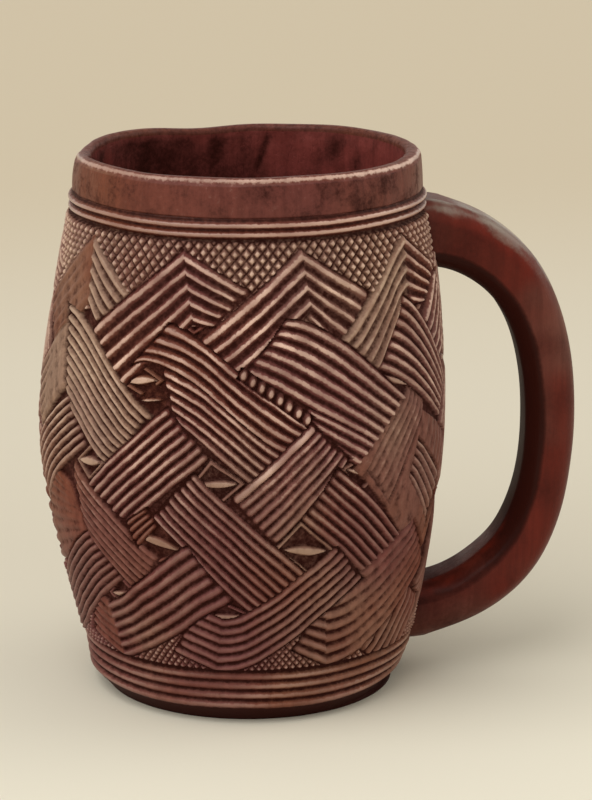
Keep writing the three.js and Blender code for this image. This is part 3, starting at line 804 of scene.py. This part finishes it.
def carve_outside(draft, relief, angle, step):
    """The outside, from the base up and over the lip. Gives the first points of its lowest and last ring."""
    heights = wall_heights(step)
    z = np.repeat(heights[:, None], len(angle), 1)
    radius, masks = outer_skin(relief, np.repeat(angle[None], len(heights), 0), z)
    lip_radius, lip_z, lip_masks = lip_rings(angle)
    radius, z = np.concatenate([radius, lip_radius]), np.concatenate([z, lip_z])
    masks = {name: np.concatenate([mask, lip_masks[name]]) for name, mask in masks.items()}
    around = np.repeat(angle[None], len(z), 0)
    walk = np.concatenate([[0], np.cumsum(np.hypot(np.diff(radius[:, 0]), np.diff(z[:, 0])))])
    share = MAP_OUTSIDE[0] + (MAP_OUTSIDE[1] - MAP_OUTSIDE[0]) * walk / walk[-1]
    first = draft.add_points(round_points(radius, around, lowered(angle, z)), on_map(around, share), **masks)
    # the arris at the lip's foot is rubbed as the carving is
    plain = (z[:-1, 0] > FIELD_TOP + 0.3) & (z[:-1, 0] != LIP_FOOT)
    faces = grid_faces(len(z), len(angle), first)
    for slot in (CARVED, PLAIN):
        draft.add_faces(faces[np.repeat(plain, len(angle)) == (slot == PLAIN)], slot)
    return first, first + (len(z) - 1) * len(angle)


def carve_hollow(draft, angle):
    """The hollow with its knife flutes, its drying crack and its painted shade. Gives the first point of its
    upper ring.
    """
    count, (inner_radius, inner_z) = len(angle), hollow_profile()
    around, z = np.repeat(angle[None], len(inner_z), 0), np.repeat(inner_z[:, None], count, 1)
    flutes = FLUTE_DEPTH * np.abs(np.sin(around * FLUTES + 2 * wander(around, z, 35, 3, 90)))
    off_crack = np.degrees(around) - CRACK_TOP_ANGLE - CRACK_SLANT * (CUP_HEIGHT - z)
    crack = bell(0, CRACK_HALF_WIDTH, off_crack) * smooth(0, 4, z - CRACK_FOOT)
    radius = inner_radius[:, None] + HOLLOW_WAVER * wander(around, z, 34, 14, 70)
    radius = radius - flutes + CRACK_DEPTH * crack
    z = lowered(angle, z)
    # Painted light and shade inside: darker deeper down, and lighter on the right-hand wall, which faces the
    # key light.
    painted_depth_shade = smooth(3, 26, CUP_HEIGHT - z)
    crest = 0.47 + 0.08 * wander(around, z, 43, 9, 22) + 0.15 * np.cos(around) - 0.16 * painted_depth_shade
    crest += 0.09 * wander(around, z, 45, 40, 8) * (1 - painted_depth_shade) - 0.3 * crack
    places = on_map(around, np.linspace(*MAP_HOLLOW, len(inner_z)))
    first = draft.add_points(round_points(radius, around, z), places, crest=np.clip(crest, 0.08, 0.6))
    draft.add_faces(grid_faces(len(inner_z), count, first), INSIDE)
    draft.close(first + (len(inner_z) - 1) * count, count, (0, 0, FLOOR * MM), MAP_FLOOR, INSIDE, crest=0.5)
    return first


def carve_base(draft, angle):
    """The underside, a little hollowed by the knife. Gives the first point of its outer ring."""
    count, radius = len(angle), np.array(BASE_RINGS)[:, None] * BASE_RADIUS
    around = np.repeat(angle[None], len(radius), 0)
    z = np.maximum(BASE_WAVER * (1 + wander(around, radius, 36, 9, 30)), 0)
    z[0] = 0
    first = draft.add_points(round_points(radius, around, z), on_map(around, MAP_BASE), crest=0.45)
    draft.add_faces(grid_faces(len(radius), count, first)[:, ::-1], INSIDE)
    last = first + (len(radius) - 1) * count
    draft.close(last, count, (0, 0, 0), MAP_BASE_MIDDLE, INSIDE, inward=True, crest=0.45)
    return first


def carve_body(settings, materials):
    """The whole cup without its handle, as one closed skin. Its inside has a quarter as many columns."""
    step = settings.grid / MM * 1
    columns = 4 * round(2 * math.pi * BELLY_RADIUS / step / 4)
    coarse = columns // 4
    draft = MeshDraft()
    lowest, last = carve_outside(draft, Relief(settings), evenly(columns), step)
    hollow = carve_hollow(draft, evenly(coarse))
    draft.add_faces(stepped_seam(last, columns, hollow, coarse), INSIDE)
    base = carve_base(draft, evenly(coarse))
    draft.add_faces(stepped_seam(lowest, columns, base, coarse)[:, ::-1], CARVED)
    return draft.build("cup_body_carved", materials)


def stepped_seam(fine_start, columns, coarse_start, coarse):
    """Seven-sided faces that join a fine ring to one with a quarter of its points."""
    place = np.arange(coarse)
    fine = [fine_start + (4 * place + k) % columns for k in range(5)]
    return np.stack([*fine, coarse_start + (place + 1) % coarse, coarse_start + place], -1)


def corner_curve(turn, power):
    """A quarter corner: round at power 1, and nearer to a flat cut above it."""
    c, s = np.cos(turn), np.sin(turn)
    return np.sign(c) * np.abs(c) ** power, np.sign(s) * np.abs(s) ** power


def section(settings, half_thick, half_width, sides):
    """Offsets of a handle section from its centre, outward and sideways, for arrays of half sizes."""
    turn = (np.arange(sides) + 0.5) * 2 * math.pi / sides
    quarter = np.floor(turn / (math.pi / 2)).astype(int)
    outer = (quarter == 0) | (quarter == 3)
    radius = np.where(outer, settings.outer_arris, settings.inner_chamfer) / MM
    power = np.where(outer, 1.0, 1.3)
    local = turn - quarter * math.pi / 2
    squeezed = quarter * math.pi / 2 + math.pi / 2 * smooth(-0.15, 1.15, local / (math.pi / 2))
    across, side = corner_curve(squeezed, power)
    out = np.where(outer, 1, -1) * (half_thick[:, None] - radius) + radius * across
    wide = np.where(quarter < 2, 1, -1) * (half_width[:, None] - radius) + radius * side
    return out, wide


def handle_lines(settings, angles, sides):
    """Points of the handle's long lines and their crest mask, one row for each angle along the loop. The mask
    paints shade on the inner side and a painted sheen on the upward-facing top.
    """
    middle, half_span = (HANDLE_TOP + HANDLE_FOOT) / 2, (HANDLE_TOP - HANDLE_FOOT) / 2
    reach = HANDLE_REACH - HANDLE_CENTRE + HANDLE_SHOULDER
    x = HANDLE_CENTRE + reach * np.cos(angles) - HANDLE_SHOULDER * np.cos(3 * angles)
    z = middle + half_span * np.sin(angles)
    out_x = half_span * np.cos(angles)
    out_z = reach * np.sin(angles) - 3 * HANDLE_SHOULDER * np.sin(3 * angles)
    length = np.hypot(out_x, out_z)
    out_x, out_z = out_x / length, out_z / length
    to_root = np.abs(np.sin(angles)) ** 3
    thick = GRIP + (np.where(angles > 0, TOP_ROOT, FOOT_ROOT) - GRIP) * to_root
    wide = GRIP_WIDTH + (ROOT_WIDTH - GRIP_WIDTH) * to_root
    from_wall = x - wall_radius(np.clip(z, FOOT_TOP_HEIGHT, NECK_HEIGHT))
    flare = settings.root_flare / MM * np.exp(-np.maximum(from_wall, 0) / FLARE_REACH)
    thick, wide = thick / 2 + flare * 0.6 - GRIP_INSET, wide / 2 + flare - SIDE_INSET
    out, side = section(settings, thick, wide, sides)
    outer, inner = bell(*SHOULDER, angles) + bell(*LOWER_BEND, angles), bell(*LOWER_CROOK, angles)
    fuller = np.where(out > 0, outer[:, None], -inner[:, None])
    out = out + BEND_FULLNESS * fuller * smooth(0, 4, np.abs(out))
    turn = evenly(sides)

    def uneven(seed, turns, rise):
        """A wandering value round and along the handle."""
        return wander(turn[None], angles[:, None] * BEND_RADIUS, seed, turns, rise)

    scale = 1 + (0.1 * (uneven(41, 3, 45) + 0.3 * uneven(42, 5, 14)) - 0.12) / 8
    out, side = out * scale, side * scale
    points = np.stack([x[:, None] + out * out_x[:, None], side, z[:, None] + out * out_z[:, None]], -1)
    # Low on the inner side, which faces the cup: partly soot and partly painted shade. It is a little lower
    # towards both roots.
    crest = 0.06 + 0.48 * smooth(-0.62, 0.0, np.cos(turn))
    crest = crest * (1 - 0.22 * smooth(0.9, 1.35, np.abs(angles)))[:, None] * (1 + 0.1 * uneven(44, 2, 12))
    # A painted sheen: a grey-brown highlight on the upward-facing top of the loop, a little weaker near the
    # top root.
    painted_sheen = 0.44 * smooth(0.12, 0.75, out_z[:, None] * np.cos(turn)) * (0.95 + 0.16 * uneven(46, 14, 9))
    return points, crest + painted_sheen * (1 - 0.12 * smooth(1.1, 1.5, angles))[:, None]


def carve_handle(settings, materials):
    """The loop handle. Each of its long lines starts and ends just under the skin of the wall."""
    sides, rings = ((96, 300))
    tries = np.linspace(math.pi / 2, -math.pi / 2, 700)
    lines, masks = handle_lines(settings, tries, sides)
    z = np.clip(lines[..., 2], FOOT_TOP_HEIGHT, NECK_HEIGHT)
    depth = np.hypot(lines[..., 0] - bow_at(z), lines[..., 1]) - (wall_radius(z) - ROOT_SINK)
    half = len(tries) // 2
    points, crest = np.empty((rings, sides, 3)), np.empty((rings, sides))
    share = np.linspace(0, 1, rings)
    for k in range(sides):
        top = np.interp(0, depth[:half, k], tries[:half])
        foot = np.interp(0, depth[half:, k][::-1], tries[half:][::-1])
        wanted = top * (1 - share) + foot * share
        for axis in range(3):
            points[:, k, axis] = np.interp(-wanted, -tries, lines[:, k, axis])
        crest[:, k] = np.interp(-wanted, -tries, masks[:, k])
    draft = MeshDraft()
    places = on_map(evenly(sides)[None], np.linspace(*MAP_HANDLE, rings))
    start = draft.add_points(points * MM, places, crest=crest, pale=0.9)
    draft.add_faces(grid_faces(rings, sides, start))
    for ring, up in zip((0, rings - 1), MAP_HANDLE_ENDS):
        draft.close(start + ring * sides, sides, points[ring].mean(0) * MM, up, inward=ring == 0)
    return draft.build("handle_carved", materials)


def add(tree, kind, inputs=None, **settings):
    """A node of a kind, with its settings and the plain values of its inputs."""
    made = tree.nodes.new(kind)
    for name, value in settings.items():
        setattr(made, name, value)
    for name, value in (inputs or {}).items():
        made.inputs[name].default_value = value
    return made


def join(tree, *links):
    """Links pairs of sockets."""
    for start, end in links:
        tree.links.new(start, end)


def fed(tree, node, given, output):
    """Feeds a node's inputs, by number, from sockets or plain values, and gives one of its outputs."""
    for index, value in given.items():
        if isinstance(value, bpy.types.NodeSocket):
            tree.links.new(value, node.inputs[index])
        else:
            node.inputs[index].default_value = value
    return node.outputs[output]


def mix_colour(tree, factor, first, second):
    """A colour between two, from sockets or plain values."""
    return fed(tree, add(tree, "ShaderNodeMix", data_type="RGBA"), {0: factor, 6: first, 7: second}, 2)


def sum_up(tree, operation, first, second, clamp=False):
    """A sum, product or difference of two sockets or plain values."""
    node = add(tree, "ShaderNodeMath", operation=operation, use_clamp=clamp)
    return fed(tree, node, {0: first, 1: second}, 0)


def times(tree, first, second):
    return sum_up(tree, "MULTIPLY", first, second)


def plus(tree, first, second, clamp=False):
    return sum_up(tree, "ADD", first, second, clamp)


def ranged(tree, value, low, high, to_low=0.0, to_high=1.0):
    """The value stretched from one range to another, and held inside it."""
    limits = {"From Min": low, "From Max": high, "To Min": to_low, "To Max": to_high}
    node = add(tree, "ShaderNodeMapRange", limits)
    node.interpolation_type = "SMOOTHSTEP"
    tree.links.new(value, node.inputs["Value"])
    return node.outputs["Result"]


def noise(tree, vector, scale, detail, roughness):
    """Cloudy values from 0 to 1 over a vector."""
    node = add(tree, "ShaderNodeTexNoise", {"Scale": scale, "Detail": detail, "Roughness": roughness})
    tree.links.new(vector, node.inputs["Vector"])
    return node.outputs["Fac"]


def new_group(name, inputs, outputs):
    """An empty node group with its sockets, and its input and output nodes."""
    group = bpy.data.node_groups.new(name, "ShaderNodeTree")
    for direction, sockets in (("INPUT", inputs), ("OUTPUT", outputs)):
        for label, kind, default in sockets:
            socket = group.interface.new_socket(label, in_out=direction, socket_type=kind)
            if default is not None:
                socket.default_value = default
    return group, group.nodes.new("NodeGroupInput"), group.nodes.new("NodeGroupOutput")


NUMBER, COLOUR = "NodeSocketFloat", "NodeSocketColor"


def grain_group():
    """Upright wood grain: long streaks, short dark pores and soft clouds, all in the wood itself."""
    outputs = [(label, NUMBER, None) for label in ("Streaks", "Pores", "Clouds")]
    group, given, out = new_group("wood_grain", [("Fineness", NUMBER, 1.0)], outputs)
    place = add(group, "ShaderNodeTexCoord").outputs["Object"]
    finer = add(group, "ShaderNodeVectorMath", operation="SCALE")
    join(group, (place, finer.inputs[0]), (given.outputs["Fineness"], finer.inputs["Scale"]))
    long = add(group, "ShaderNodeMapping", {"Scale": (1, 1, 0.07)})
    short = add(group, "ShaderNodeMapping", {"Scale": (1, 1, 0.16)})
    join(group, (finer.outputs[0], long.inputs["Vector"]), (finer.outputs[0], short.inputs["Vector"]))
    streaks = ranged(group, noise(group, long.outputs[0], 420, 6, 0.6), 0.32, 0.68)
    pores = ranged(group, noise(group, short.outputs[0], 1900, 2, 0.5), 0.62, 0.72)
    clouds = ranged(group, noise(group, place, 38, 3, 0.5), 0.35, 0.65)
    join(group, *zip((streaks, pores, clouds), out.inputs[: len(outputs)]))
    return group


def patina_group():
    """Old wood: dirt and painted shade in the low places, rubbed crests with a painted sheen on the handle,
    and a colour that drifts from patch to patch.
    """
    inputs = [
        ("DirtAndShade", COLOUR, (0.02, 0.01, 0.01, 1)),
        ("Wood", COLOUR, (0.1, 0.04, 0.03, 1)),
        ("RubbedAndSheen", COLOUR, (0.4, 0.25, 0.2, 1)),
        ("Dry", COLOUR, (0.3, 0.2, 0.1, 1)),
        ("Fresh", COLOUR, (0.2, 0.07, 0.04, 1)),
        ("Height", NUMBER, 0.5),
        ("Pale", NUMBER, 0.5),
        ("Flecks", NUMBER, 1.0),
        ("Tan", NUMBER, 0.0),
        ("Red", NUMBER, 0.0),
        ("Streaks", NUMBER, 0.5),
        ("Clouds", NUMBER, 0.5),
    ]
    outputs = [("Color", COLOUR, None), ("RubAndSheen", NUMBER, None), ("CleanAndLit", NUMBER, None)]
    group, given, out = new_group("patina", inputs, outputs)
    dirt_and_shade, wood, rubbed, dry, fresh, *masks = given.outputs[: len(inputs)]
    height, pale, flecks, tan, red, streaks, clouds = masks
    place = add(group, "ShaderNodeTexCoord").outputs["Object"]
    flecked = times(group, ranged(group, noise(group, place, 700, 4, 0.7), 0.2, 0.8, -0.16, 0.16), flecks)
    broken = plus(group, height, flecked)
    clean_and_lit = ranged(group, broken, 0.16, 0.66)
    rub_and_sheen = times(group, ranged(group, broken, 0.66, 0.93), pale)
    patch = ranged(group, noise(group, place, 19, 2, 0.5), 0.42, 0.7, 0, 0.7)
    redness = plus(group, patch, red, clamp=True)
    dry_patch = ranged(group, noise(group, place, 27, 2, 0.5), 0.46, 0.72, 0, 0.4)
    dryness = plus(group, dry_patch, tan, clamp=True)
    redder = mix_colour(group, redness, wood, fresh)
    dried = mix_colour(group, times(group, dryness, 0.55), redder, dry)
    streaked = mix_colour(group, times(group, streaks, 0.3), dried, dirt_and_shade)
    body = mix_colour(group, clean_and_lit, dirt_and_shade, streaked)
    red_crest = mix_colour(group, times(group, red, 0.7), rubbed, fresh)
    pale_crest = mix_colour(group, times(group, dryness, 0.85), red_crest, dry)
    cloudy = ranged(group, clouds, 0, 1, 0.55, 1.0)
    colour = mix_colour(group, times(group, rub_and_sheen, cloudy), body, pale_crest)
    join(group, *zip((colour, rub_and_sheen, clean_and_lit), out.inputs[: len(outputs)]))
    return group


def scuff_group():
    """Fine height for a Bump node: pores, hair scratches and small knife marks."""
    inputs = [("Pores", NUMBER, 0.0), ("Streaks", NUMBER, 0.5), ("Knife", NUMBER, 1.0)]
    group, given, out = new_group("scuffs", inputs, [("Height", NUMBER, None)])
    pores, streaks, knife = given.outputs[: len(inputs)]
    place = add(group, "ShaderNodeTexCoord").outputs["Object"]
    slant = add(group, "ShaderNodeMapping", {"Rotation": (0.5, 0.4, 0.9), "Scale": (1, 0.12, 1)})
    join(group, (place, slant.inputs["Vector"]))
    scratches = ranged(group, noise(group, slant.outputs[0], 800, 3, 0.6), 0.6, 0.7)
    cuts = times(group, noise(group, place, 260, 3, 0.5), knife)
    dips = plus(group, times(group, pores, 0.5), times(group, scratches, 0.3))
    height = sum_up(group, "SUBTRACT", plus(group, cuts, times(group, streaks, 0.35)), dips)
    join(group, (height, out.inputs["Height"]))
    return group


def shared_group(name, maker):
    """A node group that is built once."""
    return bpy.data.node_groups.get(name) or maker()


def opaque(colour):
    """A colour with its full cover."""
    return (*colour, 1.0)


def wood_material(name, colours, roughness, knife=1.0, bump=0.00009, gloss=0.12, coat=0.0, flecks=1.0):
    """Old carved wood. colours are its dark, wood, rubbed, dry and red tones, gloss is how strongly it
    mirrors and coat is the weight of the polish on its crests. The dark tone is dirt and painted shade where
    the crest mask is low, and on the handle the rubbed tone is a painted sheen."""
    material = bpy.data.materials.new(name)
    material.use_nodes = True
    tree = material.node_tree
    tree.nodes.clear()
    shader = add(tree, "ShaderNodeBsdfPrincipled", {"Specular IOR Level": gloss, "Coat Roughness": 0.22})
    result = add(tree, "ShaderNodeOutputMaterial")
    grain = add(tree, "ShaderNodeGroup", node_tree=shared_group("wood_grain", grain_group))
    patina = add(tree, "ShaderNodeGroup", node_tree=shared_group("patina", patina_group))
    for label, colour in zip(("DirtAndShade", "Wood", "RubbedAndSheen", "Dry", "Fresh"), colours):
        patina.inputs[label].default_value = opaque(colour)
    scuffs = add(tree, "ShaderNodeGroup", node_tree=shared_group("scuffs", scuff_group))
    scuffs.inputs["Knife"].default_value = knife
    patina.inputs["Flecks"].default_value = flecks
    bumped = add(tree, "ShaderNodeBump", {"Strength": 1.0, "Distance": bump})
    dull = ranged(tree, patina.outputs["CleanAndLit"], 0, 1, 0.85, roughness)
    spotted = plus(tree, dull, ranged(tree, grain.outputs["Clouds"], 0, 1, -0.05, 0.05))
    for mask, socket in (("crest", "Height"), ("pale", "Pale"), ("tan", "Tan"), ("red", "Red")):
        reader = add(tree, "ShaderNodeAttribute", attribute_name=mask)
        join(tree, (reader.outputs["Fac"], patina.inputs[socket]))
    join(
        tree,
        (grain.outputs["Streaks"], patina.inputs["Streaks"]),
        (grain.outputs["Clouds"], patina.inputs["Clouds"]),
        (grain.outputs["Streaks"], scuffs.inputs["Streaks"]),
        (grain.outputs["Pores"], scuffs.inputs["Pores"]),
        (scuffs.outputs["Height"], bumped.inputs["Height"]),
        (bumped.outputs["Normal"], shader.inputs["Normal"]),
        (patina.outputs["Color"], shader.inputs["Base Color"]),
        (spotted, shader.inputs["Roughness"]),
        (ranged(tree, patina.outputs["RubAndSheen"], 0, 1, 0.12 * coat, coat), shader.inputs["Coat Weight"]),
        (shader.outputs["BSDF"], result.inputs["Surface"]),
    )
    return material


def body_materials(finish):
    """Materials of the carved wall, the plain band and the hollow."""
    wall_tones = (finish.groove, finish.wood, finish.crest, finish.tan, finish.red)
    carved = wood_material("carved wood", wall_tones, 0.5, coat=0.2)
    band_tones = (finish.groove, finish.band, finish.crest, finish.red, finish.red)
    band = wood_material("band wood", band_tones, 0.4, knife=1.6, bump=0.00012, coat=0.9)
    hollow_tones = (finish.groove, *[finish.hollow] * 4)
    hollow = wood_material("hollow wood", hollow_tones, 0.42, knife=2.0, bump=0.00015, flecks=0.5)
    return [carved, band, hollow]


def handle_material(finish):
    """Material of the polished handle, with its painted sheen and painted shade."""
    tones = (finish.groove, finish.handle, finish.painted_sheen, finish.painted_sheen, finish.handle)
    polish = {"gloss": 0.08, "coat": 0.8, "flecks": 0.3}
    return wood_material("handle wood", tones, 0.34, knife=1.2, bump=0.00008, **polish)


class CUP_OT_body(bpy.types.Operator):
    """Carve the cup's body with its plaited wall"""

    bl_idname = "cup.body"
    bl_label = "Carve the body"

    def execute(self, context):
        body = carve_body(context.scene.cup_relief, body_materials(context.scene.cup_finish))
        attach(body, "root")
        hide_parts("cup_body")
        return {"FINISHED"}


class CUP_OT_handle(bpy.types.Operator):
    """Carve the loop handle"""

    bl_idname = "cup.handle"
    bl_label = "Carve the handle"

    def execute(self, context):
        handle = carve_handle(context.scene.cup_handle, [handle_material(context.scene.cup_finish)])
        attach(handle, "root")
        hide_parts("handle")
        return {"FINISHED"}


FLOOR_RADIUS, NEAR_FADE, FAR_FADE = 14.0, (-0.13, 0.15), (0.25, 0.8)
CAMERA_TURN, CAMERA_TILT = math.radians(-6.0), math.radians(14.48)
CAMERA_DISTANCE, CAMERA_ASIDE, CAMERA_HEIGHT = 0.827, 0.0132, 0.2926
CAMERA_LENS, SENSOR_WIDTH = 138.65, 36.0


def place_camera():
    """The camera at the photograph's angle."""
    data = bpy.data.cameras.new("camera")
    data.lens, data.sensor_width = CAMERA_LENS, SENSOR_WIDTH
    camera = bpy.data.objects.new("camera", data)
    bpy.context.scene.collection.objects.link(camera)
    turn = CAMERA_TURN
    camera.location = (
        CAMERA_DISTANCE * math.sin(turn) + CAMERA_ASIDE * math.cos(turn),
        -CAMERA_DISTANCE * math.cos(turn) + CAMERA_ASIDE * math.sin(turn),
        CAMERA_HEIGHT,
    )
    camera.rotation_euler = (math.radians(90) - CAMERA_TILT, 0, turn)
    bpy.context.scene.camera = camera


def place_lamp(name, toward, strength, softness, colour):
    """A distant soft light from a direction. Its softness is the angle that it fills, in degrees."""
    data = bpy.data.lights.new(name, "SUN")
    data.energy, data.angle, data.color = strength, math.radians(softness), colour
    lamp = bpy.data.objects.new(name, data)
    lamp.location = Vector(toward)
    lamp.rotation_euler = (-Vector(toward)).to_track_quat("-Z", "Y").to_euler()
    bpy.context.scene.collection.objects.link(lamp)


def studio_world(colour, brightness):
    """A dim even room. The camera sees it as bright as the floor."""
    world = bpy.data.worlds.new("studio")
    world.use_nodes = True
    tree = world.node_tree
    background = tree.nodes["Background"]
    background.inputs["Color"].default_value = opaque(colour)
    seen = add(tree, "ShaderNodeLightPath").outputs["Is Camera Ray"]
    join(tree, (ranged(tree, seen, 0, 1, brightness, 1.0), background.inputs["Strength"]))
    return world


def floor_material(near, middle, far):
    """A plain pale paper floor whose colour paints the fall of the studio light: lightest towards the front,
    darker round the cup and darkest far behind it.
    """
    material = bpy.data.materials.new("floor paper")
    material.use_nodes = True
    tree = material.node_tree
    shader = tree.nodes["Principled BSDF"]
    shader.inputs["Roughness"].default_value = 0.9
    shader.inputs["Specular IOR Level"].default_value = 0.1
    place = add(tree, "ShaderNodeTexCoord").outputs["Object"]
    split = add(tree, "ShaderNodeSeparateXYZ")
    join(tree, (place, split.inputs[0]))
    fore = mix_colour(tree, ranged(tree, split.outputs["Y"], *NEAR_FADE), opaque(near), opaque(middle))
    graded = mix_colour(tree, ranged(tree, split.outputs["Y"], *FAR_FADE), fore, opaque(far))
    cloud = ranged(tree, noise(tree, place, 3.0, 3, 0.5), 0.3, 0.7, 0, 0.05)
    join(tree, (mix_colour(tree, cloud, graded, opaque(far)), shader.inputs["Base Color"]))
    return material


class CUP_OT_stage(bpy.types.Operator):
    """Set up the floor, the lamps and the camera"""

    bl_idname = "cup.stage"
    bl_label = "Set the stage"

    def execute(self, context):
        stage = context.scene.cup_stage
        bpy.ops.mesh.primitive_circle_add(vertices=96, radius=FLOOR_RADIUS, fill_type="NGON")
        floor = context.object
        floor.name = "floor"
        floor.data.materials.append(floor_material(stage.near, stage.middle, stage.far))
        place_lamp("key light", (-0.6, -0.42, 0.95), stage.key, 60, (1.0, 0.975, 0.94))
        place_lamp("fill light", (0.85, 0.15, 0.5), stage.fill, 50, (1.0, 0.95, 0.86))
        context.scene.world = studio_world((0.98, 0.94, 0.86), stage.room)
        context.scene.view_settings.view_transform = "Standard"
        place_camera()
        return {"FINISHED"}


class CUP_PT_panel(bpy.types.Panel):
    """The cup's steps and settings"""

    bl_idname = "CUP_PT_panel"
    bl_label = "Carved cup"
    bl_space_type = "VIEW_3D"
    bl_region_type = "UI"
    bl_category = "Carved cup"

    def draw(self, context):
        for owner, kind in SETTINGS.items():
            if owner in STEPS:
                self.layout.operator(STEPS[owner])
            for name in kind.__annotations__:
                self.layout.prop(getattr(context.scene, owner), name)


SETTINGS = {
    "cup_finish": CupFinishSettings,
    "cup_relief": CupReliefSettings,
    "cup_handle": CupHandleSettings,
    "cup_stage": CupStageSettings,
}
STEPS = {"cup_relief": "cup.body", "cup_handle": "cup.handle", "cup_stage": "cup.stage"}
CLASSES = (*SETTINGS.values(), CUP_OT_body, CUP_OT_handle, CUP_OT_stage, CUP_PT_panel)


def register():
    for cls in CLASSES:
        bpy.utils.register_class(cls)
    for name, cls in SETTINGS.items():
        setattr(bpy.types.Scene, name, bpy.props.PointerProperty(type=cls))


def unregister():
    for name in SETTINGS:
        delattr(bpy.types.Scene, name)
    for cls in reversed(CLASSES):
        bpy.utils.unregister_class(cls)


def main():
    register()
    bpy.ops.cup.stage()
    bpy.ops.cup.body()
    bpy.ops.cup.handle()


if __name__ == "__main__":
    main()
